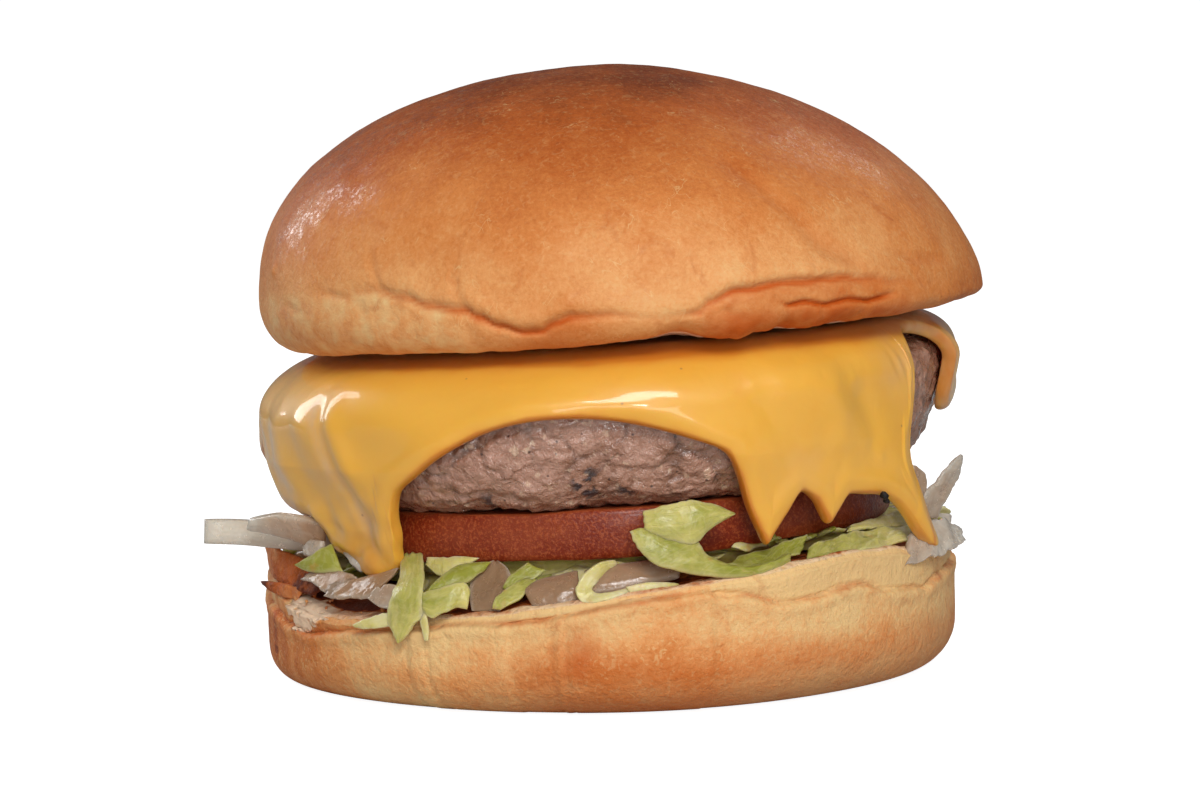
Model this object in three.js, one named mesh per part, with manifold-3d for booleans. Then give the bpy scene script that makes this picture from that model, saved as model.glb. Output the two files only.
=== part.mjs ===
// A cheeseburger: bottom bun, shredded lettuce and onion, a tomato slice, a beef patty under
// a melted slice of cheese, and the top bun. Millimetres, +Z up, the front faces -Y.
import * as THREE from "three";
import { mergeVertices } from "three/addons/utils/BufferGeometryUtils.js";
import Module from "manifold-3d";

const wasm = await Module();
wasm.setup();

// ---------------------------------------------------------------- driving dimensions

const GAP = 0.35; // air kept between neighbouring pieces

// Everything above the lettuce leans with the wedge-shaped bottom bun.
const STACK_TILT = 2.3; // degrees, right side up
const STACK_PIVOT = 20; // height of the leaning axis

const HEEL = {
  centre: -0.4, radius: 52.6, height: 17.6, wedge: 2.2, foot: 42, corner: 9,
  rim: 1.3, groove: 0.9,
};
const CROWN = {
  centre: 2.9, radius: 54.4, top: 91.4, seat: 52.3, widest: 57.3, rim: 52.7, roll: 5, fold: 0.7,
};
const TOMATO = { centre: -1.2, radius: 44.3, bottom: 22, top: 28.7, edge: 1.1 };
const PATTY = { bottom: 29.2, foot: 42 };
const CHEESE = { radius: 53.6, top: 51.8, thickness: 2.1, shoulder: 43, reach: 13.6, bead: 0.4 };

// Lower edge of the melted slice: [angle in degrees, height] once round from the left notch.
// The corners of the square slice hang lowest, at about -48, 55, 140 and 228 degrees.
const HEM = [
  [-86, 38], [-80, 35.5], [-77, 31.2], [-70, 28.6], [-62, 27.4], [-58, 24.3], [-54, 21.9],
  [-48, 20.8], [-42.6, 21.2], [-39, 23.6], [-36.5, 28], [-34.5, 33], [-30, 35.8], [-25, 37.9],
  [-18, 41], [-10, 43], [-2, 42.6], [6, 40.9], [13, 38.9], [17.4, 36.6], [19.6, 33],
  [21.2, 28.5], [24.6, 23.5], [28, 26.4], [30.8, 29], [33.6, 27], [36, 25.2], [38.4, 27.2],
  [40.5, 28.5], [43, 27.4], [45.5, 27.8], [48, 24.8], [50.5, 21.2], [52.8, 19.6],
  [54.4, 20.6], [55.2, 26], [55.8, 35], [56.6, 43], [57.8, 47.6], [59.6, 48.4], [62, 46.6],
  [66, 42.4], [70, 38.8], [77, 37.2], [85, 37], [94, 37.5], [104, 35], [112, 30], [119, 27.5],
  [126, 29], [133, 25], [140, 21.5], [147, 23.5], [152, 30], [158, 35],
  [164, 38.2], [171, 40.4], [179, 41.6], [186, 41.2], [193, 39.6], [200, 36], [205, 30], [209, 27.2], [214, 28.4], [220, 25],
  [228, 22.4], [236, 24.5], [241, 30], [248, 34.5], [256, 33], [262, 31.6], [268, 34],
  [274, 38],
];

// ---------------------------------------------------------------- small functions

const radians = THREE.MathUtils.degToRad;
const lerp = THREE.MathUtils.lerp;
const ramp = THREE.MathUtils.smoothstep;

/** Degrees from `at` to the angle `a`, between -180 and 180. */
function away(a, at) {
  return THREE.MathUtils.euclideanModulo(THREE.MathUtils.radToDeg(a) - at + 180, 360) - 180;
}

/** 1 at the angle `at`, fading out over `width` degrees to both sides. */
function bell(a, at, width) {
  return Math.exp(-((away(a, at) / width) ** 2));
}

/** The point at angle `a` from the front, swinging to the right, `r` out and `z` up. */
function polar(a, r, z, centre = 0) {
  return new THREE.Vector3(centre + r * Math.sin(a), -r * Math.cos(a), z);
}

/** `count` even steps from `from` towards `to`, without `to`. */
function steps(from, to, count) {
  return Array.from({ length: count }, (_, i) => from + ((to - from) * i) / count);
}

/** A repeatable random number source. */
function randomSource(seed) {
  let state = seed;
  return () => {
    state = (state * 1664525 + 1013904223) % 4294967296;
    return state / 4294967296;
  };
}

// ---------------------------------------------------------------- solids

/** The same surface with its seams welded and its collapsed triangles left out. */
function welded(geometry) {
  geometry.deleteAttribute("normal");
  geometry.deleteAttribute("uv");
  const merged = mergeVertices(geometry, 1e-4);
  const index = merged.index.array;
  const kept = [];
  for (let i = 0; i < index.length; i += 3) {
    const [a, b, c] = [index[i], index[i + 1], index[i + 2]];
    if (a !== b && b !== c && c !== a) {
      kept.push(a, b, c);
    }
  }
  merged.setIndex(kept);
  return merged;
}

/** A solid of revolution whose section changes on the way round: form(turn, row) is a point. */
function turned(form, rows, columns) {
  const profile = rows.map((row) => new THREE.Vector2(1, row));
  const geometry = new THREE.LatheGeometry(profile, columns);
  const position = geometry.attributes.position;
  for (let i = 0; i <= columns; i++) {
    for (let j = 0; j < rows.length; j++) {
      const point = form((i % columns) / columns, rows[j]);
      position.setXYZ(i * rows.length + j, point.x, point.y, point.z);
    }
  }
  return welded(geometry);
}

/** A form that takes an angle as a form that takes a turn from 0 to 1, starting at the back. */
function byAngle(form) {
  return (turn, row) => form((turn * 2 - 1) * Math.PI, row);
}

/** A copy swollen by `distance` along its vertex normals. */
function grown(geometry, distance) {
  const copy = geometry.clone();
  copy.computeVertexNormals();
  const { position, normal } = copy.attributes;
  for (let i = 0; i < position.count; i++) {
    const point = new THREE.Vector3().fromBufferAttribute(position, i);
    point.addScaledVector(new THREE.Vector3().fromBufferAttribute(normal, i), distance);
    position.setXYZ(i, point.x, point.y, point.z);
  }
  copy.deleteAttribute("normal");
  return copy;
}

function toSolid(geometry) {
  const vertProperties = new Float32Array(geometry.attributes.position.array);
  const triVerts = new Uint32Array(geometry.index.array);
  return new wasm.Manifold(new wasm.Mesh({ numProp: 3, vertProperties, triVerts }));
}

function toGeometry(solid) {
  const mesh = solid.getMesh();
  const geometry = new THREE.BufferGeometry();
  geometry.setAttribute("position", new THREE.BufferAttribute(mesh.vertProperties, mesh.numProp));
  geometry.setIndex(new THREE.BufferAttribute(mesh.triVerts, 1));
  return welded(geometry);
}

/** The largest connected piece of a surface: what a cut leaves over is dropped. */
function largestPiece(geometry) {
  const index = geometry.index.array;
  const parent = Array.from({ length: geometry.attributes.position.count }, (_, i) => i);
  const root = (i) => {
    while (parent[i] !== i) {
      i = parent[i] = parent[parent[i]];
    }
    return i;
  };
  for (let i = 0; i < index.length; i += 3) {
    parent[root(index[i])] = root(index[i + 1]);
    parent[root(index[i])] = root(index[i + 2]);
  }
  const pieces = new Map();
  for (let i = 0; i < index.length; i += 3) {
    const key = root(index[i]);
    if (!pieces.has(key)) {
      pieces.set(key, []);
    }
    pieces.get(key).push(index[i], index[i + 1], index[i + 2]);
  }
  const largest = [...pieces.values()].sort((a, b) => b.length - a.length)[0];
  const kept = geometry.clone();
  kept.setIndex(largest);
  return mergeVertices(kept.toNonIndexed(), 1e-4);
}

/** The geometry with each cutter taken away from it. */
function cut(geometry, cutters) {
  const solid = cutters.reduce((rest, cutter) => rest.subtract(cutter), toSolid(geometry));
  return largestPiece(toGeometry(solid));
}

/**
 * A thin wavy leaf between two edge lines, each a list of [angle, radius, height]. It bellies
 * out by `belly` in the middle and its edges ruffle by `ruffle`.
 */
function leaf({ near, far, thickness = 0.8, belly = 0, ruffle = 0, waves = 2, along = 7, across = 2 }) {
  const line = (points) =>
    new THREE.CatmullRomCurve3(points.map(([a, r, z]) => polar(radians(a), r, z)));
  const [nearLine, farLine] = [line(near), line(far)];
  const point = (s, t) => nearLine.getPoint(s).lerp(farLine.getPoint(s), t);
  const sheet = new THREE.PlaneGeometry(1, 1, along, across);
  const position = sheet.attributes.position;
  const places = [];
  for (let i = 0; i < position.count; i++) {
    places.push([position.getX(i) + 0.5, position.getY(i) + 0.5]);
  }
  const place = () =>
    places.forEach(([s, t], i) => {
      const at = point(s, t);
      position.setXYZ(i, at.x, at.y, at.z);
    });
  place();
  sheet.computeVertexNormals();
  const flat = sheet.attributes.normal.clone();
  places.forEach(([s, t], i) => {
    const lift = belly * 4 * t * (1 - t) + ruffle * Math.sin(2 * Math.PI * waves * s) * (2 * t - 1);
    const at = new THREE.Vector3().fromBufferAttribute(position, i);
    at.addScaledVector(new THREE.Vector3().fromBufferAttribute(flat, i), lift);
    position.setXYZ(i, at.x, at.y, at.z);
  });
  sheet.computeVertexNormals();
  return thickened(sheet, thickness);
}

/** A sheet given a thickness: both faces are split alike and a rim joins them. */
function thickened(sheet, thickness) {
  const { position, normal } = sheet.attributes;
  const count = position.count;
  const points = [];
  for (const side of [0.5, -0.5]) {
    for (let i = 0; i < count; i++) {
      const at = new THREE.Vector3().fromBufferAttribute(position, i);
      at.addScaledVector(new THREE.Vector3().fromBufferAttribute(normal, i), side * thickness);
      points.push(at.x, at.y, at.z);
    }
  }
  const top = [...sheet.index.array];
  const triangles = [...top];
  const sides = new Set();
  for (let i = 0; i < top.length; i += 3) {
    const [a, b, c] = [top[i], top[i + 1], top[i + 2]];
    triangles.push(count + c, count + b, count + a);
    sides.add(`${a},${b}`).add(`${b},${c}`).add(`${c},${a}`);
  }
  for (const side of sides) {
    const [a, b] = side.split(",").map(Number);
    if (!sides.has(`${b},${a}`)) {
      triangles.push(b, a, count + a, b, count + a, count + b);
    }
  }
  const solid = new THREE.BufferGeometry();
  solid.setAttribute("position", new THREE.Float32BufferAttribute(points, 3));
  solid.setIndex(triangles);
  return welded(solid);
}

// ---------------------------------------------------------------- bottom bun

/** Height of the cut rim: the bun was sliced aslant, low at the left front. */
function heelRim(a) {
  const slant = HEEL.wedge * Math.sin(a) + 2.6 * bell(a, 36, 27) - 2.6 * bell(a, -45, 30);
  return HEEL.height + slant + 1.8 * bell(a, -92, 9) + 0.25 * Math.sin(9 * a + 1);
}

/** How far below the rim the torn line runs that parts the crust from the crumb. */
function heelLip(a) {
  const turn = away(a, 0);
  const wide = ramp(turn, 12, 27) * (1 - ramp(turn, 110, 150));
  return 1.6 + 3.9 * wide + 0.5 * Math.sin(11 * a);
}

/** Rows: 0 to 1 foot, 1 to 2 wall, 2 to 3 rounded rim, 3 to 4 cut face. */
function heelForm(a, row) {
  const radius = HEEL.radius + 0.5 * Math.sin(3 * a + 0.6) + 0.25 * Math.sin(7 * a);
  const foot = HEEL.foot + 7 * bell(a, -85, 38) + 3 * bell(a, 80, 30);
  const corner = HEEL.corner - 4.5 * bell(a, -85, 38) - 2 * bell(a, 80, 30);
  const rim = heelRim(a);
  const wallTop = rim - HEEL.rim;
  const wallRadius = radius - 0.6;
  if (row <= 1) {
    return polar(a, foot * row, 0, HEEL.centre);
  }
  if (row <= 2) {
    const z = wallTop * (row - 1) ** 1.25;
    const rise = 1 - Math.min(1, z / corner);
    const line = rim - heelLip(a);
    const bulge = lerp(foot, radius, Math.sqrt(1 - rise * rise));
    const dent = HEEL.groove * Math.exp(-(((z - line) / 0.8) ** 2)) + 0.6 * ramp(z, line, wallTop);
    return polar(a, bulge - dent, z, HEEL.centre);
  }
  if (row <= 3) {
    const turn = ((row - 2) * Math.PI) / 2;
    const r = wallRadius - HEEL.rim * (1 - Math.cos(turn));
    return polar(a, r, wallTop + HEEL.rim * Math.sin(turn), HEEL.centre);
  }
  const out = 4 - row;
  const z = lerp(HEEL.height + 0.4, rim, out ** 2.2);
  return polar(a, (wallRadius - HEEL.rim) * out, z, HEEL.centre);
}

function bottomBun() {
  const rows = [0, ...steps(0.7, 1, 1), ...steps(1, 2, 9), ...steps(2, 3, 2), 3, 3.25, 3.6, 4];
  return turned(byAngle(heelForm), rows, 70);
}

// ---------------------------------------------------------------- top bun

/** Rows: 0 to 1 underside, 1 to 2 rolled lower edge, 2 to 3 dome. */
function crownForm(a, row) {
  const radius = CROWN.radius - 0.3 * Math.cos(2 * a) + 0.3 * Math.sin(5 * a + 0.5);
  const widest = CROWN.widest - 1.9 * Math.sin(a) + 0.5 * Math.cos(2 * a);
  const rim = CROWN.rim + 0.5 * Math.sin(a) - 0.7 * bell(a, -70, 35) + 0.2 * Math.sin(6 * a);
  const roll = CROWN.roll - Math.sin(a);
  if (row <= 1) {
    const z = lerp(CROWN.seat, rim, row ** 8);
    return polar(a, (radius - roll) * row, z, CROWN.centre);
  }
  if (row <= 2) {
    const turn = ((2 - row) * Math.PI) / 2;
    const r = radius - roll * (1 - Math.cos(turn) ** 0.91);
    return polar(a, r, widest - (widest - rim) * Math.sin(turn) ** 0.91, CROWN.centre);
  }
  const turn = ((row - 2) * Math.PI) / 2;
  const power = 2 / (2 - 0.25 * Math.sin(a) + 0.06 * Math.cos(a));
  const z = widest + (CROWN.top - widest) * Math.sin(turn) ** power;
  const fold = rim + 3.4 + 2.4 * bell(a, -45, 22) + 1.2 * bell(a, 28, 18);
  const crease = CROWN.fold * Math.exp(-(((z - fold) / 1.1) ** 2));
  return polar(a, radius * Math.max(0, Math.cos(turn)) ** power - crease, z, CROWN.centre);
}

function topBun() {
  const rows = [0, 0.45, 0.8, ...steps(0.93, 1, 1), ...steps(1, 2, 5), ...steps(2, 3, 12), 3];
  return turned(byAngle((a, row) => (row === 3 ? polar(0, 0, CROWN.top, CROWN.centre) : crownForm(a, row))),
    rows, 64);
}

// ---------------------------------------------------------------- patty, cheese and tomato

/** Uneven coarse-ground surface that the cheese follows too. */
function lumps(a, z) {
  const wide = 0.4 * Math.sin(5 * a + 0.7 + z * 0.12);
  return wide + 0.3 * Math.sin(9 * a - z * 0.21) + 0.2 * Math.sin(16 * a + z * 0.4);
}

/** Shoulder height and reach of the top edge that the cheese drapes over, at angle `a`. */
function shoulder(a) {
  return { z: CHEESE.shoulder + 2 * Math.sin(a), reach: CHEESE.reach - 5.4 * Math.sin(a) };
}

/** Rows: 0 to 1 underside, 1 to 2 lower wall, 2 to 3 rounded top edge, 3 to 4 top. */
function pattyForm(a, row) {
  const inset = CHEESE.thickness + 1.7 * GAP;
  const { z: widest, reach } = shoulder(a);
  const radius = CHEESE.radius - inset;
  const top = CHEESE.top - inset;
  const width = reach - inset;
  if (row <= 1) {
    const z = PATTY.bottom;
    return polar(a, (PATTY.foot + lumps(a, z)) * row, z);
  }
  if (row <= 2) {
    const turn = ((2 - row) * Math.PI) / 2;
    const z = widest - (widest - PATTY.bottom) * Math.sin(turn);
    return polar(a, lerp(PATTY.foot, radius, Math.cos(turn)) + lumps(a, z), z);
  }
  if (row <= 3) {
    const turn = ((row - 2) * Math.PI) / 2;
    const z = widest + (top - widest) * Math.sin(turn);
    return polar(a, radius - width * (1 - Math.cos(turn)) + lumps(a, z) * Math.cos(turn), z);
  }
  return polar(a, (radius - width) * (4 - row), top);
}

function beefPatty() {
  const rows = [0, 0.6, ...steps(1, 2, 6), ...steps(2, 3, 4), 3, 4];
  return turned(byAngle(pattyForm), rows, 64);
}

const HANG_FROM = 36; // below this height the cheese hangs clear of the patty
const hemLine = new THREE.CatmullRomCurve3(HEM.map(([a, z]) => new THREE.Vector3(a, z, 0)));

/** The tongue at the right front leans as it hangs: degrees of drift at height `z`. */
function drift(a, z) {
  const reach = z < 34 ? (34 - z) * 0.55 : (z - 34) * 0.2;
  return radians(reach) * bell(a, 54, 11);
}

/** Inward lean of the hanging cheese, in millimetres for each millimetre of drop. */
function hangLean(a) {
  return 0.16 + 0.17 * bell(a, -62, 40);
}

/** The slice's outer surface, or with `inset` a surface inside it, `drop` down its path. */
function cheeseSkin(a, drop, inset) {
  const { z: widest, reach } = shoulder(a);
  const radius = CHEESE.radius - inset;
  const width = reach - inset;
  if (drop <= 1) {
    const turn = ((1 - drop) * Math.PI) / 2;
    const z = widest + (CHEESE.top - inset - widest) * Math.sin(turn);
    return polar(a, radius - width * (1 - Math.cos(turn)) + lumps(a, z) * Math.cos(turn), z);
  }
  const z = widest - (drop - 1) * 10;
  const hang = Math.max(0, HANG_FROM - z);
  const cling = 0.06 * (widest - z - hang);
  const follow = lumps(a, z) * Math.exp(-hang / 6);
  const r = radius - cling - hang * hangLean(a) + follow;
  return polar(a + drift(a, z), r, z);
}

/** How far down its path the slice ends at this hem height: 1 is the widest place. */
function hemDrop(widest, hem) {
  if (hem > widest) {
    return 1 - Math.asin(Math.min(1, (hem - widest) / (CHEESE.top - widest))) / (Math.PI / 2);
  }
  return 1 + (widest - hem) / 10;
}

/** Drop at `part` of the way from the flat top to the hem: half the rows round the shoulder. */
function dropAt(part, end) {
  const round = Math.min(1, end * 0.6);
  return part < 0.5 ? 2 * part * round : lerp(round, end, 2 * part - 1);
}

/** Rows: 0 to 1 underside, 1 to 2 inner face going out and down, 2 to 3 outer face, 3 to 4 top. */
function cheeseForm(turn, row) {
  const hem = hemLine.getPoint(turn);
  const a = radians(hem.x);
  const { z: widest, reach } = shoulder(a);
  const end = hemDrop(widest, hem.y);
  if (row <= 1) {
    return polar(a, (CHEESE.radius - reach) * row, CHEESE.top - CHEESE.thickness);
  }
  if (row <= 2) {
    return cheeseSkin(a, dropAt(row - 1, end), CHEESE.thickness);
  }
  if (row <= 3) {
    return cheeseSkin(a, dropAt(3 - row, end), 0);
  }
  return polar(a, (CHEESE.radius - reach) * (4 - row), CHEESE.top);
}

/** The same surface with the cut edge rounded by a middle row that hangs a little lower. */
function cheeseWithEdge(turn, row) {
  const point = cheeseForm(turn, row);
  if (row === 2) {
    point.lerp(cheeseForm(turn, 2.0001), 0.5);
    point.z -= CHEESE.bead;
  }
  return point;
}

function meltedCheese() {
  const inner = [1, 1.125, 1.25, 1.375, 1.5, 1.75, 1.96];
  const outer = inner.map((row) => 4 - row).reverse();
  return turned(cheeseWithEdge, [0, ...inner, 2, ...outer, 4], Math.round(HEM.length * 1.25));
}

/** Rows: 0 to 1 underside, 1 to 2 skin, 2 to 3 top. */
function tomatoForm(a, row) {
  const radius = TOMATO.radius - TOMATO.edge + 0.6 * Math.sin(3 * a + 1) + 0.3 * Math.sin(7 * a);
  if (row <= 1) {
    return polar(a, radius * row, TOMATO.bottom, TOMATO.centre);
  }
  if (row <= 2) {
    const turn = (row - 1.5) * Math.PI;
    const middle = (TOMATO.bottom + TOMATO.top) / 2;
    const z = middle + ((TOMATO.top - TOMATO.bottom) / 2) * Math.sin(turn);
    return polar(a, radius + TOMATO.edge * Math.sqrt(Math.max(0, Math.cos(turn))), z, TOMATO.centre);
  }
  return polar(a, radius * (3 - row), TOMATO.top, TOMATO.centre);
}

function tomatoSlice() {
  return turned(byAngle(tomatoForm), [0, ...steps(1, 2, 4), 2, 3], 56);
}

// ---------------------------------------------------------------- lettuce and onion

const BED = { radius: 40.5, strips: 30, seed: 41 };

// Each leaf lies between two edge lines of [angle, radius, height] points, in place.
const LETTUCE = {
  lettuce_hanging: {
    near: [[-46, 45.5, 20.6], [-40.5, 50.5, 17.4], [-37.5, 53.5, 15], [-35, 54, 10.8]],
    far: [[-37, 45.5, 20.6], [-33, 50.5, 17.6], [-31, 53.5, 15.4], [-33, 54, 11.6]],
  },
  lettuce_crossing: {
    near: [[-23.5, 46, 20.4], [-28, 49, 18], [-30.4, 51, 17]],
    far: [[-26.5, 46.5, 21], [-29, 49.5, 19.5], [-30.4, 51.5, 18.4]],
    along: 5, across: 1,
  },
  lettuce_short: {
    near: [[-25, 47.5, 18], [-28, 50, 17.4], [-30.2, 52.4, 16.6]],
    far: [[-24, 50, 15.8], [-27, 51.6, 15.6], [-29.4, 53.4, 14.6]],
    along: 5, across: 1,
  },
  lettuce_blade: {
    near: [[-37.4, 53.2, 15], [-40, 53.4, 14.8], [-43, 53.7, 13.8]],
    far: [[-37.2, 53.6, 13.4], [-40, 53.7, 13.2], [-43, 53.8, 13]],
    along: 4, across: 1,
  },
  lettuce_green: {
    near: [[-13.5, 45, 20.8], [-16.5, 47, 19], [-18.5, 50, 16.8]],
    far: [[-19, 46, 20.6], [-18.8, 48, 18.6], [-19.4, 50.2, 16.9]],
    along: 5,
  },
  lettuce_hook: {
    near: [[-1, 45, 21.4], [-6, 47.4, 20.4], [-6.5, 50.4, 18], [-1.5, 51, 18], [5, 50.4, 18.6]],
    far: [[-3, 45.8, 20.6], [-4.6, 47.6, 19.6], [-4.6, 49.4, 18.4], [-1, 50, 18.9], [5, 49.4, 19.4]],
    along: 8, across: 1, thickness: 0.7,
  },
  lettuce_curl: {
    near: [[4.5, 50.4, 29], [3, 51.2, 26.5], [4, 51.8, 23.5], [11, 52, 20.9], [20, 51.8, 20.4],
      [28, 50.4, 21.6]],
    far: [[17.6, 50.8, 29.2], [15, 50, 27], [13, 48.5, 24.5], [16.5, 46.6, 22.6],
      [23, 46, 21.9], [35, 46, 22.9]],
    along: 14, across: 3, belly: 0.8,
  },
  lettuce_band: {
    near: [[33, 49.5, 22], [42, 50.4, 22.6], [52, 50.4, 22.4], [60, 49.6, 21.8]],
    far: [[37, 45, 22.5], [47, 45, 22.8], [57, 45.2, 23], [66, 45.8, 23]],
    along: 10, ruffle: 0.5, waves: 3,
  },
  lettuce_under_drip: {
    near: [[-61, 52.4, 20.6], [-57, 51.4, 19.8], [-53, 49.4, 18.4]],
    far: [[-62, 49.4, 20.8], [-59, 48.4, 20.9], [-55, 46.6, 19.6]],
    along: 5,
  },
};

const ONION = {
  onion_rod: {
    near: [[-80, 63, 21.2], [-78.5, 57, 20.6], [-73, 49, 19.2], [-66, 43, 18.9]],
    far: [[-80, 62.8, 24.2], [-78.5, 57, 23.8], [-73, 49, 22.4], [-66, 43, 21.6]],
    along: 6, across: 1, thickness: 3,
  },
  onion_wedge: {
    near: [[-71, 57, 24.6], [-67, 53, 23.6], [-62, 49, 21.6]],
    far: [[-68.5, 56.5, 25.2], [-63.5, 53, 25.2], [-58, 49.5, 24.2]],
    along: 4, across: 1, thickness: 2,
  },
  onion_curve: {
    near: [[-57, 51.5, 17], [-53, 49, 18.2], [-48, 48, 18], [-43.6, 47.4, 18.8]],
    far: [[-53, 52.4, 15.6], [-50, 50.6, 16.6], [-45.5, 50.6, 16], [-42, 51, 16.6]],
    along: 7, across: 1, thickness: 1.2,
  },
  onion_chip: {
    near: [[-50, 50.2, 20.6], [-47.5, 49.8, 18.9]],
    far: [[-47.5, 48.6, 21], [-45, 48.4, 19.4]],
    along: 3, across: 1, thickness: 1.6,
  },
  onion_clear: {
    near: [[-24.6, 45.4, 20.8], [-24, 47.4, 18.8], [-22.6, 49.4, 16.8]],
    far: [[-20.4, 45.4, 20.8], [-20.2, 47.6, 19], [-20.6, 50, 16.8]],
    along: 4, across: 1,
  },
  onion_front: {
    near: [[-16, 45, 19.8], [-10.5, 45, 20.4], [-3.5, 45, 20.8]],
    far: [[-14.5, 49.6, 16.9], [-9.5, 49.6, 17.4], [-7.6, 48, 18]],
    along: 6, thickness: 1.4, belly: 0.6,
  },
  onion_middle: {
    near: [[-3, 45, 21.2], [4, 45, 21.6], [12, 45, 21.4]],
    far: [[-2.4, 48, 18.9], [4, 48.4, 19], [10, 48.4, 20]],
    along: 6, thickness: 1.4, belly: 0.5,
  },
  onion_rim: {
    near: [[58, 53.4, 19.6], [64, 53.8, 20.2], [73, 54.2, 20.8]],
    far: [[60, 50.6, 22.8], [67, 50.8, 23], [75, 51.4, 22.6]],
    along: 6, thickness: 1, ruffle: 0.3,
  },
  onion_sprig: {
    near: [[63.5, 51, 23.6], [62.5, 52.4, 26.2], [66, 53.8, 28.8], [68.5, 54.8, 32.6]],
    far: [[70, 50.4, 23.8], [71.5, 52, 26], [71, 53.6, 28], [69.6, 54.8, 32.2]],
    along: 6, thickness: 1.1,
  },
};

/** World height of the leaning tomato's underside at `x`. */
function tomatoUnderside(x) {
  const lean = radians(STACK_TILT);
  return STACK_PIVOT + (TOMATO.bottom - STACK_PIVOT) / Math.cos(lean) + x * Math.tan(lean);
}

/** Height of the bottom bun's cut face at angle `a`, `r` out. */
function cutFace(a, r) {
  return heelForm(a, 4 - r / (HEEL.radius - HEEL.rim)).z;
}

/** The filling's solid middle, between the bun's cut face and the tomato. */
function beddingCore() {
  const form = (a, row) => {
    const radius = BED.radius + 0.8 * Math.sin(4 * a + 2) + 0.5 * Math.sin(9 * a);
    const r = radius * Math.min(row, 1, 3 - row);
    if (row <= 1) {
      return polar(a, r, cutFace(a, r) + GAP);
    }
    const at = polar(a, r, 0);
    return at.setZ(tomatoUnderside(at.x) - GAP);
  };
  return turned(byAngle(form), [0, 0.5, 0.8, 1, 2, 3], 30);
}

/** Shredded strips that show all round, evenly spread and seeded. */
function beddingStrips() {
  const random = randomSource(BED.seed);
  return steps(-180, 180, BED.strips).map((even) => {
    const at = even + (random() - 0.5) * 6;
    const front = Math.abs(at) < 78;
    const reach = front ? 42.5 + random() * 1.5 : 47.5 + random() * 5;
    const skew = (random() - 0.5) * (front ? 6 : 14);
    const wide = 2.8 + random() * 2.2;
    const level = heelRim(radians(at)) + 1 + random() * 1.4;
    const inside = BED.radius - 2;
    const turn = radians(at);
    const mouth = (cutFace(turn, inside) + tomatoUnderside(inside * Math.sin(turn))) / 2;
    const tip = front ? mouth : level + (random() - 0.6) * 1.6;
    const edge = (shift) => [
      [at - skew + shift, inside, mouth],
      [at + skew * 0.4 + shift, (inside + reach) / 2, lerp(mouth, tip, 0.6)],
      [at + skew + shift * 0.4, reach, tip],
    ];
    return leaf({ near: edge(-wide), far: edge(wide), thickness: 0.9, along: 4, across: 1 });
  });
}

// ---------------------------------------------------------------- the burger

const COLOURS = {
  bun_crust: [0xc98451, 0.45],
  cheese: [0xdba040, 0.3],
  beef: [0x7f5b45, 0.6],
  tomato: [0x8a3a24, 0.35],
  lettuce: [0xb1a766, 0.5],
  onion: [0xc4b8a0, 0.4],
};

function piece(name, geometry, slot) {
  const [color, roughness] = COLOURS[slot];
  const flatShaded = geometry.clone();
  flatShaded.computeVertexNormals();
  const material = new THREE.MeshStandardMaterial({ color, roughness, metalness: 0 });
  const mesh = new THREE.Mesh(flatShaded, material);
  mesh.name = name;
  return mesh;
}

const burger = new THREE.Group();
const stack = new THREE.Group();
stack.rotation.y = -radians(STACK_TILT);
stack.position.set(0, 0, STACK_PIVOT);
stack.position.sub(new THREE.Vector3(0, 0, STACK_PIVOT).applyEuler(stack.rotation));
burger.add(stack);
burger.updateMatrixWorld(true);

const stacked = {
  tomato_slice: [tomatoSlice(), "tomato"],
  beef_patty: [beefPatty(), "beef"],
  cheese_slice: [meltedCheese(), "cheese"],
  top_bun: [topBun(), "bun_crust"],
};
const heel = bottomBun();
burger.add(piece("bottom_bun", heel, "bun_crust"));
const keepClear = [toSolid(grown(heel, GAP + 0.05))];
for (const [name, [geometry, slot]] of Object.entries(stacked)) {
  stack.add(piece(name, geometry, slot));
  const padded = grown(geometry, GAP + 0.05).applyMatrix4(stack.matrixWorld);
  keepClear.push(toSolid(padded));
}

const shreds = [
  ...Object.entries(ONION).map(([name, shape]) => [name, shape, "onion"]),
  ...Object.entries(LETTUCE).map(([name, shape]) => [name, shape, "lettuce"]),
];
for (const [name, shape, slot] of shreds) {
  const shaped = cut(leaf(shape), keepClear);
  burger.add(piece(name, shaped, slot));
  keepClear.push(toSolid(grown(shaped, GAP + 0.2)));
}

const heap = beddingStrips().reduce((sum, strip) => sum.add(toSolid(strip)), toSolid(beddingCore()));
burger.add(piece("lettuce_bed", cut(toGeometry(heap), keepClear), "lettuce"));

export default burger;
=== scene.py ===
"""A cheeseburger with its finished surfaces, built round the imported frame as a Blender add-on."""

import bisect
import functools
import math
import random
from types import SimpleNamespace

import bmesh
import bpy
from bpy.props import FloatProperty, FloatVectorProperty, IntProperty, PointerProperty
from mathutils import Matrix, Vector, noise


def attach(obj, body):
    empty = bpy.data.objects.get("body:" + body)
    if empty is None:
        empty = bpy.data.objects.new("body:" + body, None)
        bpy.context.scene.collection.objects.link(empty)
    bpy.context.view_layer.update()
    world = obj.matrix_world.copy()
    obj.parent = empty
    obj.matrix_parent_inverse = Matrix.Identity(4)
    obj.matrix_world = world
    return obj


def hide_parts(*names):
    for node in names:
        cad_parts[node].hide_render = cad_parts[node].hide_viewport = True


bl_info = {
    "name": "Cheeseburger",
    "version": (1, 0, 0),
    "blender": (4, 5, 0),
    "location": "3D View > Sidebar > Burger",
    "description": "Builds a cheeseburger layer by layer round its solid frame",
    "category": "Object",
}

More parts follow.
